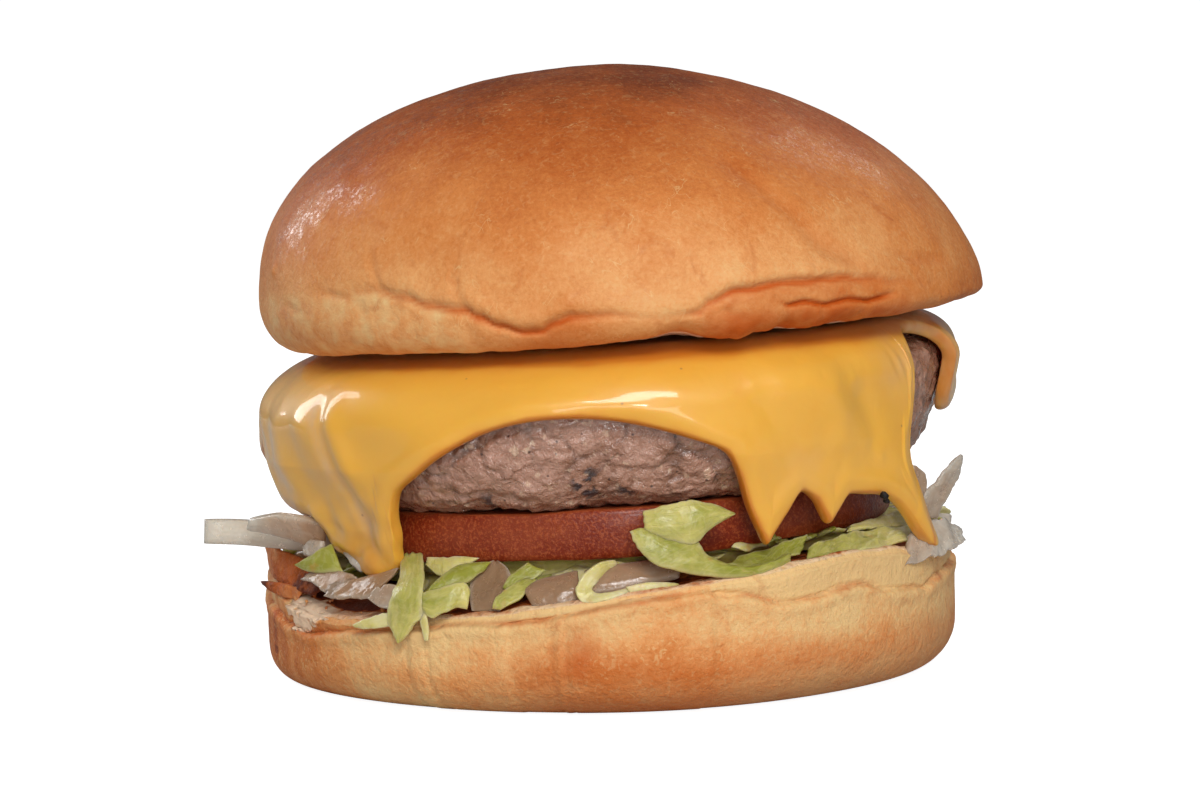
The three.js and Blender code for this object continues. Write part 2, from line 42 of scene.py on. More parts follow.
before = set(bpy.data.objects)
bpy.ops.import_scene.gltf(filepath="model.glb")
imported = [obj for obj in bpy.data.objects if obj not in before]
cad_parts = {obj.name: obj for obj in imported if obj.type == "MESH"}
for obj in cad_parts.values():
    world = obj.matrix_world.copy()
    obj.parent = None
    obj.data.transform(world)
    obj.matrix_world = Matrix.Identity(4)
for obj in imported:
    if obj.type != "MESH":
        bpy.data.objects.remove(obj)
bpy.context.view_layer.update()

MM = 0.001  # the forms below are worked out in millimetres
STACK_TILT = math.radians(2.3)  # the layers above the lettuce lean with the bottom bun
STACK_PIVOT = 20.0  # height that the lean turns about
SLICE_LIFT = 2.0  # the tomato's underside above that height
LEAN = (
    Matrix.Translation((0, 0, STACK_PIVOT))
    @ Matrix.Rotation(-STACK_TILT, 4, "Y")
    @ Matrix.Translation((0, 0, -STACK_PIVOT))
)
DETAIL = 1.0  # share of the full rows and columns


# ------------------------------------------------------------------ sizes and colours


def size(name, description, default):
    """A length property with its default in millimetres."""
    return FloatProperty(
        name=name, description=description, default=default * MM, unit="LENGTH", precision=4
    )


def linear(display):
    """Display values from 0 to 255 as linear ones from 0 to 1."""
    shares = [value / 255 for value in display]
    return tuple(s / 12.92 if s <= 0.04045 else ((s + 0.055) / 1.055) ** 2.4 for s in shares)


def colour(name, description, default):
    """A colour property whose default is given in display values from 0 to 255."""
    return FloatVectorProperty(
        name=name, description=description, subtype="COLOR", size=3, min=0.0, max=1.0,
        default=linear(default),
    )


class BurgerHeelSizes(bpy.types.PropertyGroup):
    centre: size("Offset", "Middle of the bottom bun along X", -0.4)
    radius: size("Radius", "Radius at the widest place", 52.6)
    height: size("Height", "Mean height of the cut rim", 17.6)
    wedge: size("Wedge", "How much the right side stands above the middle", 2.2)
    foot: size("Foot", "Radius of the flat base", 42.0)
    corner: size("Corner", "Height over which the foot rounds into the wall", 9.0)
    rim: size("Rim", "Rounding of the cut rim", 1.3)
    groove: size("Groove", "Depth of the torn line under the rim", 0.9)


class BurgerCrownSizes(bpy.types.PropertyGroup):
    centre: size("Offset", "Middle of the top bun along X", 2.9)
    radius: size("Radius", "Radius at the widest place", 54.4)
    top: size("Top", "Height of the dome's top", 91.4)
    seat: size("Seat", "Height of the underside", 52.3)
    widest: size("Widest", "Height of the widest ring", 57.3)
    rim: size("Rim", "Height of the lower edge", 52.7)
    roll: size("Roll", "Width of the rolled lower edge", 5.0)
    fold: size("Fold", "Depth of the fold above the rolled edge", 0.85)


class BurgerLayerSizes(bpy.types.PropertyGroup):
    tomato_centre: size("Tomato offset", "Middle of the tomato slice along X", -1.2)
    tomato_radius: size("Tomato radius", "Radius of the tomato slice", 44.3)
    tomato_bottom: size("Tomato underside", "Height of the tomato's underside", 22.0)
    tomato_top: size("Tomato top", "Height of the tomato's upper face", 29.0)
    tomato_edge: size("Tomato edge", "How far the skin bulges", 1.1)
    patty_bottom: size("Patty underside", "Height of the patty's underside", 29.2)
    patty_foot: size("Patty foot", "Radius of the patty's flat underside", 42.0)
    cheese_radius: size("Cheese radius", "Radius of the draped slice at its widest", 53.6)
    cheese_top: size("Cheese top", "Height of the cheese's top", 51.8)
    cheese: size("Cheese thickness", "Thickness of the melted slice", 2.1)
    shoulder: size("Shoulder", "Height of the cheese's widest ring", 43.0)
    reach: size("Shoulder reach", "Width of the rounded shoulder", 13.6)


class BurgerFillingSizes(bpy.types.PropertyGroup):
    leaf: size("Leaf", "Thickness of a lettuce leaf", 0.8)
    bed: size("Bed", "Radius of the shredded filling's middle", 40.5)
    strips: IntProperty(
        name="Strips", description="Lettuce strips that show all round", default=92, min=0
    )
    seed: IntProperty(name="Seed", description="Seed of the strips' places", default=7)


class BurgerColours(bpy.types.PropertyGroup):
    crust_dark: colour("Dark crust", "Most baked crust", (124, 54, 14))
    crust_brown: colour("Brown crust", "Well baked crust", (182, 92, 36))
    crust_gold: colour("Golden crust", "Golden crust", (212, 130, 66))
    crust_tan: colour("Tan crust", "Lightly baked crust", (228, 160, 98))
    crust_pale: colour("Pale crust", "Barely baked crust", (234, 194, 134))
    # orange of the folds, the torn line and a baked spot: partly painted shade in creases and grooves
    fold: colour("Fold", "Orange crust inside the folds", (188, 84, 20))
    crumb: colour("Crumb", "Torn bread", (240, 208, 176))
    toast: colour("Toast", "Toasted bread", (98, 38, 12))
    cheese: colour("Cheese", "Melted cheese", (240, 178, 66))
    # the deeper cheese and the hem's orange also carry painted shade under the top bun and, in part,
    # along the hem
    cheese_deep: colour("Deep cheese", "Thicker cheese at the hem", (222, 144, 40))
    cheese_edge_shade: colour("Cheese edge", "Toasted orange edge of the cheese", (196, 104, 18))
    # beige of thin cheese, also used for a painted sheen at the far left
    cheese_thin_and_sheen: colour("Thin cheese", "Cheese stretched thin over the beef", (222, 176, 122))
    beef_pale: colour("Pale beef", "Moist grey brown beef", (193, 147, 126))
    beef_brown: colour("Brown beef", "Seared beef", (144, 96, 70))
    # dark of the beef: painted shade in the crevices, and dark specks and char
    beef_dark: colour("Dark beef", "Crevices and char", (54, 32, 26))
    beef_char: colour("Char on beef", "Blue black seared spots", (46, 40, 46))
    tomato: colour("Tomato", "Tomato skin", (118, 34, 8))
    tomato_pale: colour("Tomato specks", "Specks in the skin", (182, 92, 48))
    leaf_green: colour("Green leaf", "Greener parts of the lettuce", (150, 150, 58))
    leaf_pale: colour("Pale leaf", "Paler parts of the lettuce", (210, 198, 118))
    leaf_rib: colour("Leaf rib", "Ribs and cut edges", (228, 220, 172))
    onion: colour("Onion", "Wet onion", (232, 222, 206))
    onion_lilac: colour("Lilac onion", "Pinkish cast of cut onion", (188, 150, 118))
    onion_deep: colour("Deep onion", "Clear onion with shade behind it", (138, 108, 74))


def millimetres(group):
    """A property group's lengths as plain numbers in millimetres."""
    kinds = group.bl_rna.properties.items()
    return SimpleNamespace(
        **{name: getattr(group, name) / MM for name, kind in kinds if kind.type == "FLOAT"}
    )


# ------------------------------------------------------------------ small functions


def lerp(a, b, t):
    """`a` at 0, `b` at 1, straight between."""
    return a + (b - a) * t


def lerp_colour(first, second, share):
    return tuple(lerp(a, b, share) for a, b in zip(first, second))


def clamp(x):
    """`x` kept between 0 and 1."""
    return min(1.0, max(0.0, x))


def ramp(x, low, high):
    """0 below `low`, 1 above `high`, smooth between."""
    t = clamp((x - low) / (high - low))
    return t * t * (3 - 2 * t)


def away(a, at):
    """Degrees from `at` to the angle `a`, between -180 and 180."""
    return (math.degrees(a) - at + 180) % 360 - 180


def bell(a, at, width):
    """1 at the angle `at`, fading out over `width` degrees to both sides."""
    return math.exp(-((away(a, at) / width) ** 2))


def rightward(a, low, high):
    """0 at the left of the front, 1 at the right, and back to 0 on the way round the back."""
    side = away(a, 0)
    return ramp(side, low, high) * (1 - ramp(abs(side), 125, 175))


def ridge(distance, width):
    """1 on a line, fading out over `width` to both sides."""
    return math.exp(-((distance / width) ** 2))


def polar(a, r, z, centre=0.0):
    """The point at angle `a` from the front, swinging to the right, `r` out and `z` up."""
    return Vector((centre + r * math.sin(a), -r * math.cos(a), z))


def steps(low, high, count):
    count = max(2, round(count * DETAIL))
    return [low + (high - low) * i / count for i in range(count)]


def columns(count):
    return round(count * DETAIL)


def cloud(place, grain, seed=0.0):
    """Smooth noise from -1 to 1 with lumps about `grain` millimetres across."""
    return noise.noise(place / grain + Vector((seed, seed * 1.7, seed * 2.3)))


def round_line(table):
    """A value that changes on the way round, from a table of (degrees, value) pairs."""
    pairs = sorted((degrees % 360, value) for degrees, value in table)
    pairs = [(pairs[-1][0] - 360, pairs[-1][1])] + pairs + [(pairs[0][0] + 360, pairs[0][1])]
    keys = [degrees for degrees, value in pairs]

    def value_at(a):
        turn = math.degrees(a) % 360
        i = min(bisect.bisect_right(keys, turn), len(keys) - 1)
        return lerp(pairs[i - 1][1], pairs[i][1], ramp(turn, keys[i - 1], keys[i]))

    return value_at


def smooth_line(points, t):
    """The place at `t`, from 0 to 1, on a smooth line through `points`."""
    last = len(points) - 1
    at = min(max(t, 0.0), 1.0) * last
    i = min(int(at), last - 1)
    p1, p2 = points[i], points[i + 1]
    p0 = points[i - 1] if i > 0 else p1 * 2 - p2
    p3 = points[i + 2] if i + 2 <= last else p2 * 2 - p1
    pairs = ((p0, p1), (p1, p2), (p2, p3))
    gap0, gap1, gap2 = (max(math.sqrt((q - p).length), 1e-4) for p, q in pairs)
    slope1 = ((p1 - p0) / gap0 - (p2 - p0) / (gap0 + gap1) + (p2 - p1) / gap1) * gap1
    slope2 = ((p2 - p1) / gap1 - (p3 - p1) / (gap1 + gap2) + (p3 - p2) / gap2) * gap1
    f = at - i
    bend = (p2 - p1) * 3 - slope1 * 2 - slope2
    twist = (p1 - p2) * 2 + slope1 + slope2
    return p1 + slope1 * f + bend * (f * f) + twist * (f * f * f)


def line_distance(x, z, points):
    """Distance from (x, z) to an open line through `points`."""
    best = 1e9
    for (ax, az), (bx, bz) in zip(points, points[1:]):
        dx, dz = bx - ax, bz - az
        t = clamp(((x - ax) * dx + (z - az) * dz) / (dx * dx + dz * dz))
        best = min(best, math.hypot(x - ax - t * dx, z - az - t * dz))
    return best


def crease_depth(lines, radius):
    """Creases on a wall of the given radius, as depth(a, z) from 0 to the deepest line's share.

    Each crease is (share, width, [(degrees, height), ...]).
    """
    reach = math.radians(1) * radius
    ready = []
    for share, width, points in lines:
        flat = [(degrees * reach, height) for degrees, height in points]
        xs, zs = zip(*flat)
        margin = 2.6 * width
        box = (min(xs) - margin, max(xs) + margin, min(zs) - margin, max(zs) + margin)
        ready.append((share, width, flat, box))

    def depth(a, z):
        deepest = 0.0
        for turn in (math.degrees(a), math.degrees(a) + 360):
            x = turn * reach
            for share, width, flat, (left, right, floor, ceiling) in ready:
                if left < x < right and floor < z < ceiling:
                    end = min(math.hypot(x - px, z - pz) for px, pz in (flat[0], flat[-1]))
                    fade = min(1.0, end / 4 + 0.2)
                    here = share * fade * ridge(line_distance(x, z, flat), width)
                    deepest = max(deepest, here)
        return deepest

    return depth


# ------------------------------------------------------------------ mesh helpers


def turned(form, rows, count):
    """A closed form that changes on the way round: a profile is spun, then each ring is placed.

    form(turn, row) gives the place for a turn from 0, at the back, to 1. Both are stored.
    """
    bm = bmesh.new()
    profile = [bm.verts.new((1.0, 0.0, row)) for row in rows]
    edges = [bm.edges.new(pair) for pair in zip(profile, profile[1:])]
    bmesh.ops.spin(
        bm, geom=profile + edges, cent=(0, 0, 0), axis=(0, 0, 1), angle=2 * math.pi,
        steps=count, use_merge=True,
    )
    turns, heights = (bm.verts.layers.float.new(name) for name in ("turn", "row"))
    for vert in bm.verts:
        a = math.atan2(vert.co.y, vert.co.x)
        vert[turns] = round(a / (2 * math.pi) * count) % count / count
        vert[heights] = vert.co.z
        vert.co = form(round(vert[turns] * count) / count, vert.co.z)
    bmesh.ops.remove_doubles(bm, verts=bm.verts, dist=1e-4)
    bmesh.ops.recalc_face_normals(bm, faces=bm.faces)
    bm.normal_update()
    return bm


def half_turns(turn):
    """The angle from the front of a turn that starts at the back."""
    return (turn * 2 - 1) * math.pi


def relief(bm, depth):
    """Moves each point along its normal by depth(place, normal)."""
    bm.normal_update()
    places = [vert.co + vert.normal * depth(vert.co, vert.normal) for vert in bm.verts]
    for vert, place in zip(bm.verts, places):
        vert.co = place
    bm.normal_update()


def paint(bm, name, value):
    """Stores value(place, normal) on each point, for a material to read."""
    layer = bm.verts.layers.float.new(name)
    for vert in bm.verts:
        vert[layer] = value(vert.co, vert.normal)


def lean(bm):
    """Leans a layer with the stack."""
    bmesh.ops.transform(bm, matrix=LEAN, verts=bm.verts)


def joined(parts):
    """One mesh from several."""
    whole = bmesh.new()
    for part in parts:
        mesh = bpy.data.meshes.new("part")
        part.to_mesh(mesh)
        part.free()
        whole.from_mesh(mesh)
        bpy.data.meshes.remove(mesh)
    return whole


def add_piece(name, bm, material, slot, *nodes):
    """Turns a mesh in millimetres into a smooth piece that stands for the given nodes."""
    bmesh.ops.scale(bm, vec=(MM, MM, MM), verts=bm.verts)
    for face in bm.faces:
        face.smooth = True
    mesh = bpy.data.meshes.new(name)
    bm.to_mesh(mesh)
    bm.free()
    piece = bpy.data.objects.new(name, mesh)
    bpy.context.scene.collection.objects.link(piece)
    piece.data.materials.append(material)
    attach(piece, "root")
    if nodes:
        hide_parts(*nodes)
    return piece


# ------------------------------------------------------------------ material helpers


class NodeMaker:
    """Short calls that add nodes to one tree."""

    def __init__(self, tree):
        self.tree = tree

    def feed(self, socket, value):
        if isinstance(value, bpy.types.NodeSocket):
            self.tree.links.new(value, socket)
        elif socket.type == "RGBA":
            socket.default_value = (*value, 1.0)
        else:
            socket.default_value = value

    def add(self, kind, inputs=None, **settings):
        node = self.tree.nodes.new(kind)
        for key, value in settings.items():
            setattr(node, key, value)
        for key, value in (inputs or {}).items():
            self.feed(node.inputs[key], value)
        return node

    def place(self):
        """The point on the piece, in the piece's own coordinates."""
        return self.add("ShaderNodeTexCoord").outputs["Object"]

    def stretched(self, vector, scale):
        return self.add("ShaderNodeMapping", {"Vector": vector, "Scale": scale}).outputs[0]

    def painted(self, name):
        """A value stored on the piece's points."""
        return self.add("ShaderNodeAttribute", attribute_name=name).outputs["Fac"]

    def clouds(self, vector, grain, detail=3.0, rough=0.55, distortion=0.0):
        """Cloudy noise from 0 to 1 with lumps about `grain` millimetres across."""
        inputs = {
            "Vector": vector, "Scale": 1 / (grain * MM), "Detail": detail,
            "Roughness": rough, "Distortion": distortion,
        }
        return self.add("ShaderNodeTexNoise", inputs).outputs["Fac"]

    def cells(self, vector, grain):
        """Distance to the middle of cells about `grain` millimetres across."""
        inputs = {"Vector": vector, "Scale": 1 / (grain * MM)}
        return self.add("ShaderNodeTexVoronoi", inputs).outputs["Distance"]

    def span(self, value, low, high, to_low=0.0, to_high=1.0):
        """`value` between low and high turned smoothly into to_low to to_high."""
        inputs = {
            "Value": value, "From Min": low, "From Max": high, "To Min": to_low, "To Max": to_high
        }
        node = self.add("ShaderNodeMapRange", inputs, interpolation_type="SMOOTHSTEP")
        return node.outputs["Result"]

    def math(self, operation, first, second=0.0):
        node = self.add("ShaderNodeMath", operation=operation)
        self.feed(node.inputs[0], first)
        self.feed(node.inputs[1], second)
        return node.outputs[0]

    def total(self, *shares):
        """The sum of values, each given as (value, share)."""
        result = 0.0
        for value, share in shares:
            result = self.math("ADD", self.math("MULTIPLY", value, share), result)
        return result

    def blend(self, share, first, second):
        """Two colours mixed by a share from 0, the first, to 1."""
        node = self.add("ShaderNodeMix", data_type="RGBA")
        self.feed(node.inputs[0], share)
        self.feed(node.inputs[6], first)
        self.feed(node.inputs[7], second)
        return node.outputs[2]

    def shades(self, value, stops):
        """A smooth run of colours, given as (position, linear colour) pairs."""
        node = self.add("ShaderNodeValToRGB", {"Fac": value})
        elements = node.color_ramp.elements
        while len(elements) < len(stops):
            elements.new(0.5)
        for element, (position, shade) in zip(elements, stops):
            element.position = position
            element.color = (*shade, 1.0)
        return node.outputs["Color"]

    def bump(self, height, depth, normal=None):
        """The normal of a relief that is `depth` millimetres high."""
        inputs = {"Height": height, "Distance": depth * MM, "Strength": 1.0}
        if normal:
            inputs["Normal"] = normal
        return self.add("ShaderNodeBump", inputs).outputs["Normal"]


def new_material(name, values):
    """A material with its node maker and its main shader, whose plain values are set here."""
    material = bpy.data.materials.new(name)
    material.use_nodes = True
    material.node_tree.nodes.clear()
    make = NodeMaker(material.node_tree)
    shader = make.add("ShaderNodeBsdfPrincipled", values)
    output = make.add("ShaderNodeOutputMaterial")
    make.feed(output.inputs["Surface"], shader.outputs[0])
    return material, make, shader


def mottle_group():
    """A node group with the broad clouds and the fine grain of a food surface."""
    name = "food mottle"
    if name in bpy.data.node_groups:
        return bpy.data.node_groups[name]
    group = bpy.data.node_groups.new(name, "ShaderNodeTree")
    sockets = group.interface
    sockets.new_socket("Place", in_out="INPUT", socket_type="NodeSocketVector")
    for label in ("Broad scale", "Fine scale"):
        sockets.new_socket(label, in_out="INPUT", socket_type="NodeSocketFloat")
    for label in ("Broad", "Fine"):
        sockets.new_socket(label, in_out="OUTPUT", socket_type="NodeSocketFloat")
    make = NodeMaker(group)
    given = make.add("NodeGroupInput").outputs
    result = make.add("NodeGroupOutput").inputs
    broad = {"Vector": given["Place"], "Scale": given["Broad scale"], "Detail": 4.0,
             "Roughness": 0.6, "Distortion": 0.5}
    fine = {"Vector": given["Place"], "Scale": given["Fine scale"], "Detail": 4.0,
            "Roughness": 0.65}
    make.feed(result["Broad"], make.add("ShaderNodeTexNoise", broad).outputs["Fac"])
    make.feed(result["Fine"], make.add("ShaderNodeTexNoise", fine).outputs["Fac"])
    return group


def mottle(make, place, broad, fine):
    """Broad clouds and fine grain, with lumps of `broad` and `fine` millimetres."""
    node = make.add("ShaderNodeGroup", node_tree=mottle_group())
    make.feed(node.inputs["Place"], place)
    node.inputs["Broad scale"].default_value = 1 / (broad * MM)
    node.inputs["Fine scale"].default_value = 1 / (fine * MM)
    return node.outputs["Broad"], node.outputs["Fine"]


# ------------------------------------------------------------------ bottom bun

# How far below the cut rim the torn line runs that parts the crust from the crumb.
HEEL_LIP = [
    (-80, 3.8), (-64, 4.1), (-48, 2.2), (-33, 1.7), (-24, 1.3), (-12, 1.8), (0, 1.4), (12, 1.1),
    (19, 2.6), (27, 5.1), (34, 5.4), (41, 4.9), (48, 6.3), (57, 6.0), (72, 4.3), (90, 4.0),
    (110, 3.0), (140, 2.0), (170, 2.6), (200, 3.2), (230, 1.8), (255, 2.4),
]
heel_lip = round_line(HEEL_LIP)
HEEL_RIM_INSET = 0.75  # how far the rounded rim stands back from the wall
TORN_SIDE = -62.0  # degrees round to the torn patch at the left


def heel_rim(s, a):
    """Height of the cut rim: the bun was sliced aslant, low at the left front."""
    slant = s.wedge * math.sin(a) + 2.6 * bell(a, 36, 27) - 2.6 * bell(a, -45, 30)
    return s.height + slant + 1.8 * bell(a, -92, 9) + 0.25 * math.sin(9 * a + 1)


def heel_face(s, a, out):
    """Height of the domed cut face, with `out` from 0 in the middle to 1 at the rim."""
    return lerp(s.height + 0.4, heel_rim(s, a), out ** (2.2 + 1.4 * bell(a, -56, 30)))


def heel_ring(s, turn):
    """What stays the same all the way up one side of the bottom bun."""
    a = half_turns(turn)
    around = Vector((math.sin(a), -math.cos(a), 0.0)) * s.radius
    rim = heel_rim(s, a) + 0.35 * cloud(around, 6.0, 3)
    return SimpleNamespace(
        a=a,
        radius=s.radius + 0.5 * math.sin(3 * a + 0.6) + 0.25 * math.sin(7 * a),
        foot=s.foot + 7 * bell(a, -85, 38) + 3 * bell(a, 80, 30),
        corner=s.corner - 4.5 * bell(a, -85, 38) - 2 * bell(a, 80, 30),
        rim=rim,
        line=rim - heel_lip(a) + 0.45 * cloud(around, 3.2, 5) + 0.25 * cloud(around, 1.1, 9),
    )


def heel_former(s):
    """Rows: 0 to 1 foot, 1 to 2 wall, 2 to 3 rounded rim, 3 to 4 cut face."""
    ring_at = functools.cache(lambda turn: heel_ring(s, turn))

    def form(turn, row):
        ring = ring_at(turn)
        wall_top = ring.rim - s.rim
        wall_radius = ring.radius - HEEL_RIM_INSET
        if row <= 1:
            return polar(ring.a, ring.foot * row, 0, s.centre)
        if row <= 2:
            z = wall_top * (row - 1) ** 1.25
            rise = 1 - min(1.0, z / ring.corner)
            bulge = lerp(ring.foot, ring.radius, math.sqrt(1 - rise * rise))
            groove = 0.6 * s.groove * ridge(z - ring.line - 0.15, 0.28)
            band = 0.5 * ramp(z, ring.line - 0.2, ring.line + 0.3)
            band -= 0.35 * ramp(z, ring.line + 0.5, wall_top)
            swell = 0.3 * ridge(z - ring.line + 0.9, 0.9)
            return polar(ring.a, bulge - groove - band + swell, z, s.centre)
        if row <= 3:
            turn_in = (row - 2) * math.pi / 2
            r = wall_radius - s.rim * (1 - math.cos(turn_in))
            return polar(ring.a, r, wall_top + s.rim * math.sin(turn_in), s.centre)
        out = 4 - row
        z = heel_face(s, ring.a, out) + (ring.rim - heel_rim(s, ring.a)) * out ** 4
        return polar(ring.a, (wall_radius - s.rim) * out, z, s.centre)

    return form


def angle_of(co, centre=0.0):
    """The angle of a place from the front, swinging to the right."""
    return math.atan2(co.x - centre, -co.y)


def heel_crumb(s, co, normal):
    """1 where crumb shows: the cut face, and a torn patch at the left."""
    a = angle_of(co, s.centre)
    half = lerp(2.4, 6.6, ramp(co.z, 9.6, 12.6))
    off = abs(away(a, TORN_SIDE)) + 3.4 * cloud(co, 2.6, 2) + 1.6 * cloud(co, 0.9, 3)
    patch = (1 - ramp(off, half - 0.8, half + 0.8)) * ramp(co.z, 9.2, 10.0)
    face = 0.5 * ramp(normal.z, 0.35, 0.75) * ramp(co.z, heel_rim(s, a) - 1.6, heel_rim(s, a) - 0.6)
    return max(patch, face)


def heel_bake(s, co, normal):
    """How dark the crust is baked, from 0 to 1."""
    a = angle_of(co, s.centre)
    left = 1 - rightward(a, -30, -8)
    z = co.z + 1.2 * cloud(co, 9.0, 4)
    streaks = cloud(Vector((30 * math.sin(a), 30 * math.cos(a), co.z * 0.12)), 1.5, 1)
    band = ramp(co.z, 4, 7) * (1 - ramp(z, 9, 14))
    bake = 0.38 - 0.14 * ramp(z, 6, 13) + 0.1 * bell(a, 8, 30) * band
    # the streaked brown left end, and the pale band over it
    bake += 0.44 * bell(a, -76, 15) * (0.8 + 0.7 * streaks)
    bake -= 0.34 * (1 - ramp(away(a, 0), -70, -63)) * bell(a, -78, 14) * ramp(co.z, 10.6, 12.4)
    # pale stretches of the front, low and high
    bake -= 0.26 * bell(a, -36, 12) * (1 - ramp(co.z, 2.5, 7)) + 0.14 * bell(a, 52, 26)
    bake -= 0.24 * bell(a, -28, 15) * ramp(co.z, 4, 8)
    bake -= 0.2 * bell(a, 40, 30) * (1 - ramp(co.z, 2, 9))
    # uneven baking all round, and darker along the very bottom
    bake += 0.12 * bell(a, 150, 40) + 0.14 * cloud(co, 14.0, 8) + 0.12 * cloud(co, 5.0, 6)
    bake += 0.07 * streaks * left
    bake += 0.45 * (1 - ramp(co.z, 0.1, 0.7 + 0.8 * cloud(co, 4.0, 7)))
    # the lip above the torn line, and the singed rim
    line = heel_rim(s, a) - heel_lip(a)
    bake -= ramp(co.z, line - 0.3, line + 0.4) * lerp(0.12, -0.06, left)
    singed = 0.5 + 0.5 * cloud(co, 3.0, 11)
    bake += lerp(0.2, 0.4, left) * singed * ramp(co.z, heel_rim(s, a) - 0.7, heel_rim(s, a) - 0.1)
    return clamp(bake)


def heel_toast(s, co, normal):
    """How dark the cut face is toasted: all of it but a pale band along the rim."""
    a = angle_of(co, s.centre)
    out = math.hypot(co.x - s.centre, co.y) / s.radius
    below = heel_rim(s, a) - co.z
    if out < 0.5 or below > 1.9:
        return 0.0
    left = 1 - rightward(a, -46, -14)
    edge = 0.965 - 0.03 * left + 0.02 * cloud(co, 3.0, 3) + 0.01 * cloud(co, 0.9, 4)
    singe = ramp(cloud(co, 5.0, 12) + 0.4 * cloud(co, 1.6, 13), -0.5, 0.5)
    face = (1 - ramp(out, edge - 0.02, edge)) * (lerp(0.5, 0.78, left) + 0.3 * singe)
    crest = 0.36 * singe * (1 - ramp(below, 0.1, 0.8)) * (1 - left)
    return max(face, crest)


def heel_fold_colour_and_shade(s, co, normal):
    """How orange: the torn line under the rim, partly painted shade, a baked spot and the low front.
    """
    a = angle_of(co, s.centre)
    line = heel_rim(s, a) - heel_lip(a)
    # orange along the torn line, partly painted shade in its groove
    torn = 0.55 * ridge(co.z - line, 0.35) * ramp(cloud(co, 6.0, 5), -0.5, 0.2)
    off = math.hypot(away(a, -5.5) * 0.92, (co.z - 8.6) * 0.66) + 0.9 * cloud(co, 2.2, 3)
    spot = 0.72 * ridge(off, 2.7)
    low = 0.42 * (1 - ramp(co.z + 1.5 * cloud(co, 5.0, 9), 6.5, 12)) * rightward(a, -30, -6)
    return clamp(max(torn, spot, low))


def build_heel(s):
    rows = [*steps(0, 1, 22), *steps(1, 1.15, 8), *steps(1.15, 2, 76), *steps(2, 3, 9)]
    rows += [*steps(3, 3.35, 24), *steps(3.35, 4, 16), 4]
    bm = turned(heel_former(s), rows, columns(600))

    def depth(co, normal):
        lift = ramp(co.z, 0.3, 2.5)
        crumb = heel_crumb(s, co, normal)
        broad = 0.35 * cloud(co, 17.0, 1) + 0.08 * cloud(co, 6.0, 2)
        grain = 0.05 * cloud(co, 1.5, 3)
        hole = 1 - ramp(noise.voronoi(co / 3.0)[0][0], 0.08, 0.34)
        torn = 0.3 * cloud(co, 2.6, 4) + 0.12 * cloud(co, 1.7, 6) - 0.35 * hole
        patch = 0.45 * crumb * ramp(co.z, 9, 10) * (1 - ramp(normal.z, 0.3, 0.6))
        return lift * (broad + (1 - crumb) * grain + crumb * torn + patch)

    relief(bm, depth)
    values = {"crumb": heel_crumb, "bake": heel_bake, "toast": heel_toast, "fold": heel_fold_colour_and_shade}
    for name, value in values.items():
        paint(bm, name, functools.partial(value, s))
    return bm


# ------------------------------------------------------------------ top bun

# Height of the fold above the rolled lower edge, once round.
CROWN_FOLD = [
    (-60, 61.6), (-39.4, 61.6), (-34.5, 60.6), (-30, 59.2), (-23.8, 58.5), (-21.7, 57.5),
    (-18.5, 56.1), (-14.7, 55.0), (-12.4, 55.1), (-10.1, 56.1), (-7.6, 56.8), (-2.7, 56.9),
    (6, 56.0), (11, 56.2), (12.8, 57.6), (16.7, 58.9), (25.6, 59.3), (34.5, 59.2), (40, 58.7),
    (46, 57.8), (58, 57.2), (70, 57.4), (90, 57.6), (110, 58.6), (130, 57.4), (150, 58.8),
    (180, 59.4), (210, 57.8), (240, 59.2), (262, 60.6), (285, 60.8),
]
crown_fold_height = round_line(CROWN_FOLD)

# How deep the fold is, once round, from 0 where the crust is smooth to 1.
FOLD_SHOWN = [
    (-80, 0.0), (-48, 0.0), (-41, 0.35), (-35, 0.6), (-26, 0.8), (-20, 1.0), (-9, 1.0), (-4, 0.55),
    (3, 0.15), (8, 0.2), (12, 0.7), (17, 1.0), (36, 0.9), (44, 0.5), (52, 0.15), (62, 0.0),
    (92, 0.0), (106, 0.6), (118, 0.9), (134, 0.3), (150, 0.7), (168, 1.0), (188, 0.5), (204, 0.1),
    (220, 0.6), (238, 0.9), (254, 0.4), (270, 0.0),
]
fold_shown = round_line(FOLD_SHOWN)

# Other creases on the dome: share, width and (degrees, height) points.
CROWN_CREASES = [
    (0.4, 0.6, [(-41.5, 68.3), (-40.4, 65.0), (-38.0, 61.3)]),
    (0.45, 0.7, [(-25.6, 64.4), (-25.0, 61.2), (-23.6, 58.6)]),
    (0.6, 0.5, [(-52.4, 61.6), (-48, 60.9), (-43.6, 60.3)]),
    (0.4, 0.5, [(-43.6, 60.3), (-42.2, 58.8), (-41.8, 57.8)]),
    (0.4, 0.5, [(-63, 59.6), (-59, 58.7), (-56, 58.6)]),
    (0.6, 1.7, [(19, 77.4), (23, 74.4), (29, 68.8), (32, 64.8), (38, 61.0), (41, 58.6)]),
    (1.3, 0.4, [(23, 57.4), (25, 56.2), (28, 56.5), (31.5, 55.7), (36, 56.2), (40, 55.6), (46, 56.3)]),
    (0.5, 0.6, [(12.5, 57.0), (15.5, 56.0), (18, 54.6)]),
    (0.5, 0.8, [(47, 62.2), (52, 60.8), (56, 60.6), (62, 59.8)]),
    (0.4, 0.6, [(50, 60.4), (51, 58.8), (53, 57.6)]),
    (0.7, 0.7, [(96, 72), (99, 67), (104, 60)]),
    (0.6, 1.1, [(138, 68), (146, 63.5), (158, 61)]),
    (0.6, 0.9, [(-118, 70), (-124, 64), (-132, 61)]),
    (0.6, 0.8, [(-158, 66), (-166, 63), (-176, 62)]),
]


